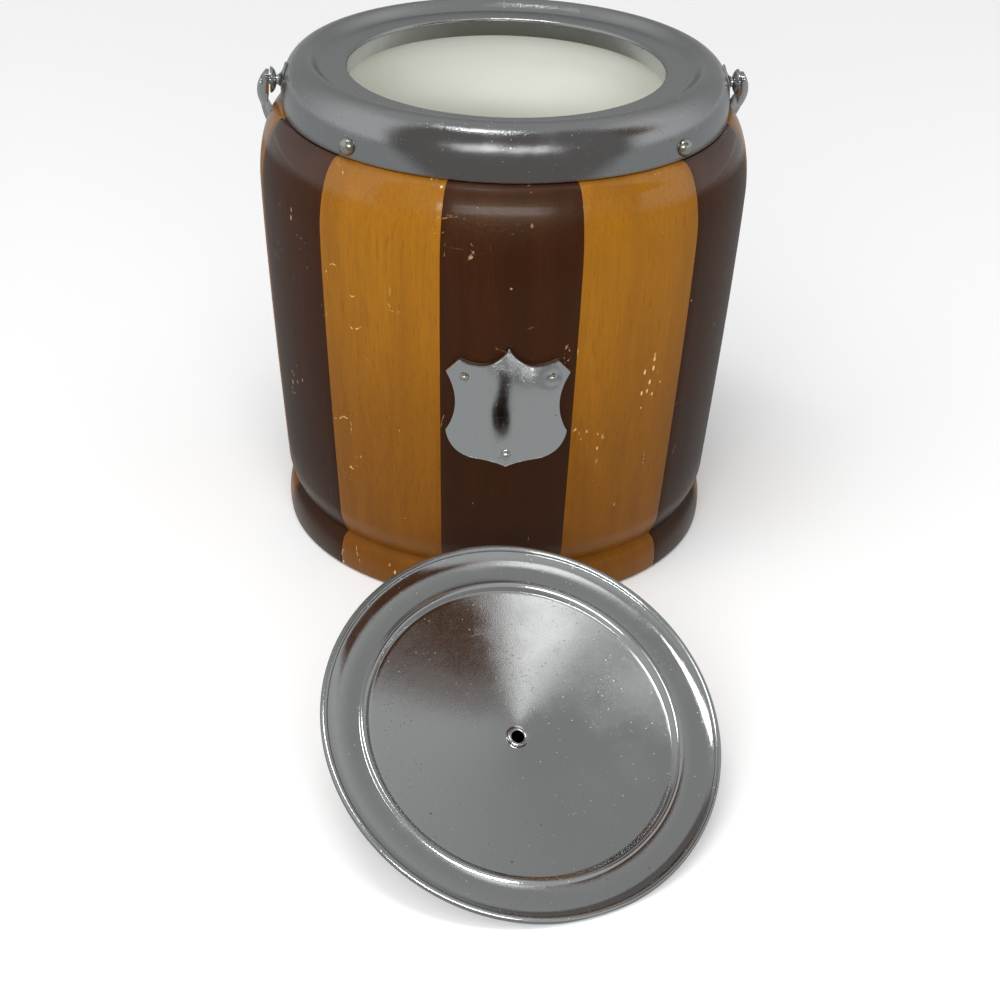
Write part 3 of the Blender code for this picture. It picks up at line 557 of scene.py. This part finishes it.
CHAMFER_DROP, CHAMFER_DEPTH = 5.5 * MM, 2.8 * MM
stave_top = LEDGE_Z - SHEET - GAP
neck = COLLAR_RADIUS - SHEET - GAP
heights = spread(FOOT_EDGE, GROOVE_Z, 10) + spread(GROOVE_Z, BELLY_FOOT_Z, 8)
heights += spread(BELLY_FOOT_Z, BELLY_Z, 40)
stave_outline = [(REBATE_RADIUS, 0.0), (body_radius(FOOT_EDGE) - FOOT_EDGE, 0.0)]
stave_outline += [(body_radius(z), z) for z in heights]
stave_outline += arc((SHOULDER_RADIUS, BELLY_Z),
                     (BELLY_RADIUS - SHOULDER_RADIUS, SHOULDER_Z - BELLY_Z), 0, 90, 20)
stave_outline += [
    (neck, SHOULDER_Z), (neck, stave_top - CHAMFER_DROP), (neck - CHAMFER_DEPTH, stave_top),
    (STAVE_BORE, stave_top), (STAVE_BORE, BASE_THICKNESS + GAP),
    (REBATE_RADIUS, BASE_THICKNESS + GAP),
]
print("stave outline:", len(stave_outline), "points")

# %% Sweep the twelve staves
WIDE_STAVE, NARROW_STAVE, HALF_SEAM = radians(31), radians(29), 0.05 * MM
edges = [-WIDE_STAVE / 2]
for number in range(STAVE_COUNT):
    width = WIDE_STAVE if number <= 3 or number > 9 else NARROW_STAVE
    edges.append(edges[-1] + width)
seam = HALF_SEAM / BELLY_RADIUS
for number in range(STAVE_COUNT):
    name = "stave_%02d" % (number + 1)
    finish = dark_wood if number % 2 == 0 else honey_wood
    span = (edges[number] + seam, edges[number + 1] - seam)
    stave = turned("wood_" + name, stave_outline, finish, steps=12, span=span,
                   board=number + 1.0, closed=True, smooth=35, bevel=0.12 * MM)
    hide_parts(name)
    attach(stave, "barrel")
print("staves:", STAVE_COUNT)

# %% [markdown]
# ## Base and liner
# The base board closes the barrel from below. The liner is a pot of glazed earthenware. It
# shows only through the mouth, but it has its true wall, so light falls into it properly.

# %% Base board
BOARD_EDGE = 0.4 * MM
board_radius = REBATE_RADIUS - GAP
base_outline = [
    (0, 0), (board_radius - BOARD_EDGE, 0), (board_radius, BOARD_EDGE),
    (board_radius, BASE_THICKNESS - BOARD_EDGE), (board_radius - BOARD_EDGE, BASE_THICKNESS),
    (0, BASE_THICKNESS),
]
base = turned("base_disc", base_outline, plain_wood, board=20.0)
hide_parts("base_board")
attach(base, "barrel")
print("base board: %.0f mm wide" % (2 * board_radius / MM))

# %% Liner
LINER_WALL, LINER_FLOOR, LINER_FOOT_ROUND, LINER_RIM_ROUND = 5.0 * MM, 6.0 * MM, 4 * MM, 1.6 * MM
liner_radius = STAVE_BORE - GAP
liner_inside = liner_radius - LINER_WALL
foot_z = BASE_THICKNESS + GAP
floor_z = foot_z + LINER_FLOOR
rim_z = stave_top - LINER_RIM_ROUND
foot_round, rim_round = (LINER_FOOT_ROUND,) * 2, (LINER_RIM_ROUND,) * 2
liner_outline = [(0, foot_z)]
for centre, size, first, last, steps in (
    ((liner_radius - LINER_FOOT_ROUND, foot_z + LINER_FOOT_ROUND), foot_round, -90, 0, 8),
    ((liner_radius - LINER_RIM_ROUND, rim_z), rim_round, 0, 90, 6),
    ((liner_inside + LINER_RIM_ROUND, rim_z), rim_round, 90, 180, 6),
    ((liner_inside - LINER_FOOT_ROUND, floor_z + LINER_FOOT_ROUND), foot_round, 0, -90, 8),
):
    liner_outline += arc(centre, size, first, last, steps)
liner_outline += [(0, floor_z)]
liner = turned("glazed_liner", liner_outline, glaze)
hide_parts("liner")
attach(liner, "barrel")
print("liner inside: %.0f mm wide" % (2 * liner_inside / MM))

# %% [markdown]
# ## Collar
# The collar is pressed from sheet: a straight skirt, a rounded shoulder, a crest, a sunk
# ledge that takes the lid, and a rolled lip round the mouth. Drawing only the face and then
# moving that line sideways by the sheet's thickness gives a true hollow pressing.

# %% Collar
collar_face = [(COLLAR_RADIUS, SHOULDER_Z + GAP)]
collar_face += arc((CREST_RADIUS, SKIRT_TOP_Z),
                   (COLLAR_RADIUS - CREST_RADIUS, CREST_Z - SKIRT_TOP_Z), 0, 90, 28)
for step in range(1, 14):
    ease = step / 14
    radius = CREST_RADIUS + (LEDGE_OUTER_RADIUS - CREST_RADIUS) * ease
    collar_face.append((radius, LEDGE_Z + (CREST_Z - LEDGE_Z) * (1 + cos(pi * ease)) / 2))
collar_face.append((LEDGE_OUTER_RADIUS, LEDGE_Z))
collar_face += arc((THROAT_RADIUS + LIP_ROUND, LEDGE_Z - LIP_ROUND),
                   (LIP_ROUND, LIP_ROUND), 90, 180, 8)
collar_face.append((THROAT_RADIUS, LEDGE_Z - THROAT_DEPTH))
collar_outline = collar_face + list(reversed(offset_path(collar_face, SHEET)))
collar = turned("pressed_collar", collar_outline, collar_chrome, steps=192, closed=True,
                smooth=30, bevel=0.2 * MM)
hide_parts("collar")
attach(collar, "barrel")
print("collar faces:", len(collar.data.polygons))

# %% [markdown]
# ## Pins, studs and washers
# Domed pins hold the collar, and a stud on each side carries the bail. The stud swells at
# its root to meet the collar, and a domed washer keeps the bail off it. They are all turned
# pieces laid over on their side, so each is turned upright and then placed by a matrix.

# %% Collar pins
def outward(turn, radius, height):
    """A frame on the barrel's side whose Z points straight out."""
    swing = Matrix.Rotation(turn, 4, "Z")
    return swing @ Matrix.Translation((0, -radius, height)) @ Matrix.Rotation(radians(90), 4, "X")


def domed_pin(name, head, dome, shank, length, place):
    outline = [(0, GAP - length), (shank, GAP - length), (shank, 0.05 * MM)]
    outline += arc((0, 0.05 * MM), (head, dome + GAP), 0, 90, 12)
    return turned(name, outline, pin_metal, steps=32, place=place)


COLLAR_PINS, COLLAR_PIN_Z = 4, 150 * MM
for number in range(COLLAR_PINS):
    turn = COLLAR_TURN + radians(90) * (number + 0.5)
    pin = domed_pin("domed_pin_%d" % (number + 1), head=2.9 * MM, dome=1.9 * MM,
                    shank=1.1 * MM, length=5.0 * MM,
                    place=outward(turn, COLLAR_RADIUS, COLLAR_PIN_Z))
    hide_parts("collar_pin_%d" % (number + 1))
    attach(pin, "barrel")
print("collar pins:", COLLAR_PINS)

# %% [markdown]
# ## Bail
# The bail is a bowed strip bent to an arch. Each end swells into a small spoon that turns on
# a stud. It hangs behind the barrel. One function gives the strip's surface from the run along
# the arch and the way across it, so the spoons need no separate modelling: they are only a
# stretch where the strip is wider and bulges out.

# %% The bail's surface
PIVOT_SPAN, BAIL_HALF_WIDTH, BAIL_HEIGHT = 77.7 * MM, 79.5 * MM, 103.4 * MM
BAIL_STRIP, BAIL_THICKNESS, BAIL_BOW = 6.5 * MM, 1.1 * MM, 0.6 * MM
CUP_HALF_LENGTH, CUP_HALF_WIDTH, CUP_DEPTH, CUP_OFFSET = 11.3 * MM, 4.6 * MM, 1.2 * MM, 6.8 * MM
CUP_SECTIONS, ARCH_SECTIONS = 44, 56
BAIL_HANG = radians(38.02)
sink = sqrt(1 - (PIVOT_SPAN / BAIL_HALF_WIDTH) ** 2)
half_height = BAIL_HEIGHT / (1 + sink)


def half_width_at(run):
    part = max(-1, min(1, (run - CUP_OFFSET) / CUP_HALF_LENGTH))
    rounded = CUP_HALF_WIDTH * sqrt(1 - part ** 2)
    return rounded if part < 0 else max(rounded, BAIL_STRIP / 2), CUP_DEPTH * (1 - part ** 2)


def bail_point(run, sideways, depth):
    """A point of the bail's right half, at a depth under its outer face."""
    turn = max(0, run) / half_height - asin(sink)
    normal = Vector((half_height * cos(turn), 0, BAIL_HALF_WIDTH * sin(turn))).normalized()
    place = Vector((BAIL_HALF_WIDTH * cos(turn), 0, half_height * (sink + sin(turn))))
    place += Vector((-normal.z, 0, normal.x)) * min(0, run)
    half_width, swell = half_width_at(run)
    curl = swell * (sideways / half_width) ** 2 + BAIL_BOW * (2 * sideways / BAIL_STRIP) ** 2
    return place + normal * (swell - curl + BAIL_THICKNESS / 2 - depth) + Vector((0, sideways, 0))


cup_end = CUP_OFFSET + CUP_HALF_LENGTH
arch_top = half_height * (pi / 2 + asin(sink))
runs = [CUP_OFFSET - CUP_HALF_LENGTH * cos(pi * (step + 0.2) / CUP_SECTIONS)
        for step in range(CUP_SECTIONS)]
runs += [cup_end + (arch_top - cup_end) * step / ARCH_SECTIONS
         for step in range(ARCH_SECTIONS + 1)]
print("bail sections on each half:", len(runs))

# %% Bail
def bored(piece, radius, reach, place):
    """Cut a round hole along X through a finished piece and keep the result as its mesh."""
    cutter = turned("drill", [(0, -reach), (radius, -reach), (radius, reach), (0, reach)],
                    pin_metal, steps=48, place=place @ Matrix.Rotation(radians(90), 4, "Y"))
    hole = piece.modifiers.new("Hole", "BOOLEAN")
    hole.object = cutter
    hole.solver = "EXACT"
    graph = bpy.context.evaluated_depsgraph_get()
    mesh = bpy.data.meshes.new_from_object(piece.evaluated_get(graph))
    mesh.materials.clear()
    mesh.materials.append(bright_chrome)
    mesh.polygons.foreach_set("material_index", [0] * len(mesh.polygons))
    piece.modifiers.remove(hole)
    piece.data = mesh
    bpy.data.objects.remove(cutter)


bm = bmesh.new()
layer = bm.verts.layers.float_vector.new("own")
right = []
for run in runs:
    across = [half_width_at(run)[0] * (s / 6 - 1) for s in range(13)]
    right.append([bail_point(run, side, 0) for side in across]
                 + [bail_point(run, side, BAIL_THICKNESS) for side in reversed(across)])
left = [[Vector((-point.x, point.y, point.z)) for point in ring] for ring in reversed(right[:-1])]
sections = [[bm.verts.new(point) for point in ring] for ring in right + left]
for vert in bm.verts:
    vert[layer] = vert.co
for near, far in zip(sections, sections[1:]):
    for number in range(len(near)):
        following = (number + 1) % len(near)
        bm.faces.new((near[number], near[following], far[following], far[number]))
bm.faces.new(sections[0])
bm.faces.new(list(reversed(sections[-1])))
pivots = Matrix.Rotation(COLLAR_TURN, 4, "Z") @ Matrix.Translation((0, 0, PIVOT_Z))
hang = pivots @ Matrix.Rotation(-radians(90) - BAIL_HANG, 4, "X")
bail = finish_mesh("swing_bail", bm, bright_chrome, place=hang, smooth=50, bevel=0.25 * MM)
bored(bail, 1.8 * MM, PIVOT_SPAN + BAIL_STRIP, pivots)
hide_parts("bail")
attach(bail, "bail")
print("bail faces:", len(bail.data.polygons))

# %% Studs and washers
box_low, box_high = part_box("bail_washer_right")
washer_base, washer_height, washer_radius = 75.97 * MM, 2.1 * MM, 4.2 * MM
washer_face = washer_base - washer_height - GAP
flare_start = COLLAR_RADIUS - 1.2 * MM
neck_radius, flare_radius, shank = 1.8 * MM, 5.6 * MM, 1.5 * MM
flush_end = 78.24 * MM
stud_outline = [(flare_radius * step / 5, flare_start - 1.0 * MM) for step in range(6)]
for step in range(11):
    part = step / 10
    radius = neck_radius + (flare_radius - neck_radius) * (1 - part) ** 2
    stud_outline.append((radius, flare_start + (washer_face - flare_start) * part))
stud_outline += [(shank, washer_face), (shank, flush_end), (0, flush_end)]
hole = shank + GAP
dome = arc((0, washer_base), (washer_radius, -washer_height), 0, 90, 20)
dome = [point for point in dome if point[0] > hole]
washer_outline = [(hole, washer_base)] + dome + [(hole, dome[-1][1])]
for side, name in ((-1, "left"), (1, "right")):
    lay_over = pivots @ Matrix.Rotation(side * radians(90), 4, "Y")
    stud = turned("stud_" + name, stud_outline, bright_chrome, steps=48, place=lay_over)
    for vert in stud.data.vertices:
        x, y, z = vert.co
        rise = max(0.0, (z - SKIRT_TOP_Z) / (CREST_Z - SKIRT_TOP_Z))
        face = CREST_RADIUS + (COLLAR_RADIUS - CREST_RADIUS) * sqrt(1 - min(1.0, rise) ** 2) + GAP
        if hypot(x, y) < face:
            vert.co.x = side * sqrt(face ** 2 - y ** 2)
    washer = turned("washer_" + name, washer_outline, bright_chrome, steps=64, place=lay_over,
                    closed=True, bevel=0.12 * MM)
    for piece, node in ((stud, "pivot_stud_"), (washer, "bail_washer_")):
        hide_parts(node + name)
        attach(piece, "barrel")
print("washer in the measured model: from %.2f to %.2f mm" % (box_low[0] / MM, box_high[0] / MM))

# %% [markdown]
# ## Shield plaque
# The plaque is cut from plate, bent to the stave and pinned at three places. It is drawn
# flat, extruded, given a soft front edge, and only then wrapped round the barrel.

# %% The plaque's outline
def sagging(start, end, sag, steps):
    """Points on a shallow curve from start to end, bulging left by sag; the end is left out."""
    along = Vector(end) - Vector(start)
    left = Vector((-along.y, along.x)).normalized()
    points = []
    for step in range(steps):
        share = step / steps
        point = Vector(start) + along * share + left * 4 * sag * share * (1 - share)
        points.append((point.x, point.y))
    return points


top, bottom = (0, 96.4 * MM), (0, 54.0 * MM)
ear, corner = (14.9 * MM, 92.2 * MM), (19 * MM, 87.5 * MM)
lobe, tail = (18.8 * MM, 66.4 * MM), (8.2 * MM, 56.6 * MM)
half = sagging(top, ear, -3.7 * MM, 14) + [ear] + sagging(corner, lobe, -2.9 * MM, 18)
half += sagging(lobe, tail, 2.8 * MM, 16) + sagging(tail, bottom, -0.4 * MM, 6) + [bottom]
outline = half + [(-u, v) for u, v in reversed(half[1:-1])]
plaque_thickness = 2.0 * MM
pins = [(-13.2 * MM, 86.1 * MM), (13.2 * MM, 86.1 * MM), (0, 58.7 * MM)]
DENT_DEPTH, DENT_RADIUS, EULER = 0.16 * MM, 2.6 * MM, 2.718
print("plaque outline:", len(outline), "points")

# %% Plaque
bm = bmesh.new()
back = bm.faces.new([bm.verts.new((u, v, 0)) for u, v in outline])
grown = bmesh.ops.extrude_face_region(bm, geom=[back])["geom"]
lifted = [part for part in grown if isinstance(part, bmesh.types.BMVert)]
bmesh.ops.translate(bm, verts=lifted, vec=(0, 0, plaque_thickness))
rim = [e for e in bm.edges if all(v.co.z > plaque_thickness / 2 for v in e.verts)]
bmesh.ops.bevel(bm, geom=rim, offset=0.6 * MM, segments=2, profile=0.5, affect="EDGES",
                clamp_overlap=True)
for step in range(-18, 19):
    beside, above = (step * MM, 0, 0), (0, (75 + step * 1.17) * MM, 0)
    for cut_at, cut_facing in ((beside, (1, 0, 0)), (above, (0, 1, 0))):
        everything = bm.verts[:] + bm.edges[:] + bm.faces[:]
        bmesh.ops.bisect_plane(bm, geom=everything, dist=0.01 * MM, plane_co=cut_at,
                               plane_no=cut_facing)
bmesh.ops.triangulate(bm, faces=[f for f in bm.faces if len(f.verts) > 4])
layer = bm.verts.layers.float_vector.new("own")
for vert in bm.verts:
    u, v, out = vert.co
    vert[layer] = vert.co
    if out > plaque_thickness / 2:
        away = [hypot(u - a, v - b) / DENT_RADIUS for a, b in pins]
        out -= sum(DENT_DEPTH * EULER ** (-(share ** 2)) for share in away)
    reach = body_radius(v) + GAP + out
    vert.co = (reach * sin(u / body_radius(v)), -reach * cos(u / body_radius(v)), v)
plaque = finish_mesh("shield", bm, plaque_chrome, smooth=22)
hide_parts("shield_plaque")
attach(plaque, "barrel")
for (u, v), name in zip(pins, ("left", "right", "bottom")):
    radius = body_radius(v)
    pin = domed_pin("round_pin_" + name, head=1.5 * MM, dome=0.9 * MM, shank=0.6 * MM,
                    length=5.5 * MM, place=outward(u / radius, radius + GAP + plaque_thickness, v))
    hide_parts("plaque_pin_" + name)
    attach(pin, "barrel")
print("plaque faces:", len(plaque.data.polygons))

# %% [markdown]
# ## Lid
# The lid is a shallow pressed dome with a flat flange, a fine ring bead round the dome's foot
# and a rolled rim. It lies upside down on its knob and the front of its rim, so the camera
# looks into the dome. All its pieces are turned upright about the lid's own axis and then
# placed together by one matrix.

# %% Lid
LID_SHEET, LID_RADIUS, LID_BEAD = 0.8 * MM, 56.9 * MM, 1.0 * MM
LID_TILT, LID_HEIGHT = radians(60.11), 29.70 * MM
DOME_FOOT_Z, DOME_RISE, DOME_TOP_Z = 3.3 * MM, 6.1 * MM, 9.4 * MM
lid_place = (Matrix.Translation((2.9 * MM, -179.2 * MM, LID_HEIGHT))
             @ Matrix.Rotation(radians(22.7), 4, "Z")
             @ Matrix.Rotation(-radians(90) - LID_TILT, 4, "X"))
hole = 2.7 * MM
dome_foot = 43.2 * MM
under = []
for step in range(41):
    radius = hole + (dome_foot - hole) * step / 40
    under.append((radius, DOME_FOOT_Z + DOME_RISE * (1 - (radius / dome_foot) ** 1.4)))
for step in range(9):
    part = step / 8
    under.append(((44.0 + 2.0 * part) * MM, (2.1 - 0.1 * part - 0.45 * sin(pi * part)) * MM))
under.append((52.2 * MM, 2.0 * MM))
over = offset_path(under, LID_SHEET)
over[0] = (hole, over[0][1])
bead = arc((LID_RADIUS - LID_BEAD, LID_BEAD), (LID_BEAD, LID_BEAD), -170, 120, 20)
lid = turned("lid_pressing", under + bead + list(reversed(over)), lid_chrome, steps=192,
             closed=True, place=lid_place, smooth=30, bevel=0.18 * MM)
print("lid faces:", len(lid.data.polygons))

# %% Knob, plate and rivet
plate_z = DOME_TOP_Z + LID_SHEET + GAP
knob_z = plate_z + 1.0 * MM + GAP
plate_outline = [(hole, plate_z), (9 * MM, plate_z)]
plate_outline += arc((8.5 * MM, plate_z + 0.5 * MM), (0.5 * MM, 0.5 * MM), 0, 90, 5)
plate_outline += [(hole, plate_z + 1 * MM)]
plate = turned("knob_washer", plate_outline, lid_chrome, steps=64, closed=True, place=lid_place)

bore_end = knob_z + 8.3 * MM
middle = knob_z + 9.0 * MM + 3.8 * MM
knob_outline = [(0, bore_end), (hole, bore_end), (hole, knob_z), (6.4 * MM, knob_z),
                (6.76 * MM, knob_z + 0.5 * MM)]
for step in range(1, 9):
    ease = step / 9
    radius = (5.2 + 1.5 * (1 - ease) ** 2 + 1.6 * ease ** 2) * MM
    knob_outline.append((radius, knob_z + (0.5 + 6.2 * ease) * MM))
knob_outline += arc((0, middle), (10.6 * MM, 7.6 * MM), -50, 90, 26)
knob = turned("turned_knob", knob_outline, dark_wood, steps=64, board=30.0, place=lid_place)

tip = knob_z + 8 * MM
flange = DOME_TOP_Z - GAP
rivet_outline = [(1.8 * MM, tip), (1.8 * MM, flange - 0.35 * MM)]
rivet_outline += arc((2.35 * MM, flange - 0.3 * MM), (0.55 * MM, 0.45 * MM), 180, 360, 10)
rivet_outline += [(2.9 * MM, flange), (2.4 * MM, flange), (2.4 * MM, tip)]
rivet = turned("eyelet", rivet_outline, bright_chrome, steps=64, closed=True, place=lid_place)
for piece, node, finish in ((lid, "lid_shell", "chrome"), (plate, "knob_plate", "chrome"),
                            (knob, "knob", "dark_wood"), (rivet, "lid_rivet", "chrome")):
    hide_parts(node)
    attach(piece, "lid")
print("knob: %.1f mm wide" % (2 * max(point[0] for point in knob_outline) / MM))

# %% [markdown]
# ## Table, light and camera
# A pale table and four lamps: a soft strip above, a faint skylight to the right, a low window
# in front and a wide soft sun. Plated metal shows what is round it, so three cards stand for
# the unlit room on the camera's side, a brown cupboard and the table. Only reflections see
# the cards.

# %% Table
floor_mesh = bpy.data.meshes.new("table_top")
floor_mesh.from_pydata([(-4, -4, 0), (4, -4, 0), (4, 4, 0), (-4, 4, 0)], [], [(0, 1, 2, 3)])
floor = bpy.data.objects.new("table_top", floor_mesh)
bpy.context.scene.collection.objects.link(floor)
pale = bpy.data.materials.new("pale_table")
pale.use_nodes = True
pale_shader = pale.node_tree.nodes["Principled BSDF"]
pale_shader.inputs["Base Color"].default_value = (0.94, 0.94, 0.94, 1)
pale_shader.inputs["Roughness"].default_value = 0.8
floor_mesh.materials.append(pale)
print("table:", floor.name)

# %% Cards seen only in reflections
def card(name, rows, colour):
    """A sheet through rows of points, which the camera and the soft light don't see."""
    mesh = bpy.data.meshes.new(name)
    width = len(rows[0])
    faces = [(r * width + c, r * width + c + 1, (r + 1) * width + c + 1, (r + 1) * width + c)
             for r in range(len(rows) - 1) for c in range(width - 1)]
    mesh.from_pydata([point for row in rows for point in row], [], faces)
    thing = bpy.data.objects.new(name, mesh)
    bpy.context.scene.collection.objects.link(thing)
    felt = bpy.data.materials.new(name)
    felt.use_nodes = True
    felt_shader = felt.node_tree.nodes["Principled BSDF"]
    felt_shader.inputs["Base Color"].default_value = (0, 0, 0, 1)
    felt_shader.inputs["Specular IOR Level"].default_value = 0.0
    felt_shader.inputs["Emission Color"].default_value = (*colour, 1)
    felt_shader.inputs["Emission Strength"].default_value = 1.0
    mesh.materials.append(felt)
    thing.visible_camera = thing.visible_diffuse = thing.visible_shadow = False
    print("card:", thing.name)


def sector(azimuths, profile):
    """Rows of points: each profile entry is a (radius, height) swept through the azimuths."""
    return [[(r * sin(a), -r * cos(a), h) for a in azimuths] for r, h in profile]


def cupboard_point(azimuth, elevation):
    """A point 0.9 m from the lid's middle, in a direction that the lid mirrors."""
    flat = 0.9 * cos(elevation)
    return flat * sin(azimuth), -0.16 - flat * cos(azimuth), 0.04 + 0.9 * sin(elevation)


rows = []
for height, half in ((95, 24.0), (150, 43.5), (200, 46.0), (330, 46.0)):
    reach = [radians(half) * (step / 16 - 1) for step in range(33)]
    rows += sector(reach, [(0.12, height * MM)])
card("dark_front", rows, (0.19, 0.175, 0.17))
rows = []
for step in range(13):
    azimuth, low, high = radians(57 + 2.75 * step), 28, 61.5 - 0.7 * step
    climb = [radians(low + (high - low) * share / 6) for share in range(7)]
    rows.append([cupboard_point(azimuth, elevation) for elevation in climb])
card("brown_cupboard", rows, (0.125, 0.058, 0.032))
round_about = [2 * pi * step / 64 for step in range(65)]
card("grey_table", sector(round_about, [(0.09, 0.001), (3.0, 0.001)]), (0.38, 0.39, 0.39))

# %% World
world = bpy.data.worlds.new("soft room")
bpy.context.scene.world = world
world.use_nodes = True
tree = world.node_tree
background = tree.nodes["Background"]
direction = tree.nodes.new("ShaderNodeTexCoord").outputs["Generated"]
upward = tree.nodes.new("ShaderNodeSeparateXYZ")
wire(tree, direction, upward.inputs[0])
behind = ramp(tree, upward.outputs["Y"], 0.0, 0.85, 0.68, 0.33)
rise = ramp(tree, upward.outputs["Z"], 0.72, 0.95)
wire(tree, mix_colour(tree, rise, behind, (0.42, 0.42, 0.42)), background.inputs["Color"])
print("world:", world.name)

# %% Lamps
def lamp(name, place, target, size, power):
    data = bpy.data.lights.new(name, "AREA")
    data.shape = "RECTANGLE"
    data.size, data.size_y = size
    data.energy = power
    thing = bpy.data.objects.new(name, data)
    bpy.context.scene.collection.objects.link(thing)
    aim = Vector(target) - Vector(place)
    turn = aim.to_track_quat("-Z", "Y").to_matrix().to_4x4()
    thing.matrix_world = Matrix.Translation(place) @ turn
    print("lamp:", name, power, "W")


lamp("ceiling_strip", (-0.16, -0.40, 1.30), (0, 0, 0.1), (0.62, 0.16), 3.2)
lamp("skylight", (0.50, -0.60, 1.30), (0, 0, 0.1), (0.34, 0.22), 0.32)
lamp("low_window", (-0.05, -0.95, 0.45), (0, 0, 0.14), (0.70, 0.07), 4.6)
fill = bpy.data.lights.new("soft_fill", "SUN")
fill.energy = 1.25
fill.angle = radians(70)
soft = bpy.data.objects.new("soft_fill", fill)
bpy.context.scene.collection.objects.link(soft)
soft.matrix_world = Vector((-0.4, -0.7, 1.0)).to_track_quat("Z", "Y").to_matrix().to_4x4()
soft.visible_glossy = False
bpy.context.scene.view_settings.view_transform = "Standard"
print("sun:", soft.name, fill.energy)

# %% Camera
camera_data = bpy.data.cameras.new("camera")
camera_data.sensor_width = 36.0
camera_data.lens = 70.96
camera_data.shift_x = 0.0059
camera_data.shift_y = -0.0277
camera = bpy.data.objects.new("camera", camera_data)
bpy.context.scene.collection.objects.link(camera)
elevation, orbit, roll = radians(29.28), radians(-2.4), radians(1.66)
aim = Vector((-0.19 * MM, 0, 8.39 * MM))
turned_aim = Matrix.Rotation(orbit, 4, "Z") @ aim
facing = Matrix.Rotation(orbit, 4, "Z") @ Matrix.Rotation(radians(90) - elevation, 4, "X")
back_off = facing @ Vector((0, 0, 709.7 * MM))
stand = Matrix.Translation(turned_aim + back_off)
camera.matrix_world = stand @ facing @ Matrix.Rotation(roll, 4, "Z")
bpy.context.scene.camera = camera
print("camera at", [round(v, 4) for v in camera.matrix_world.translation])
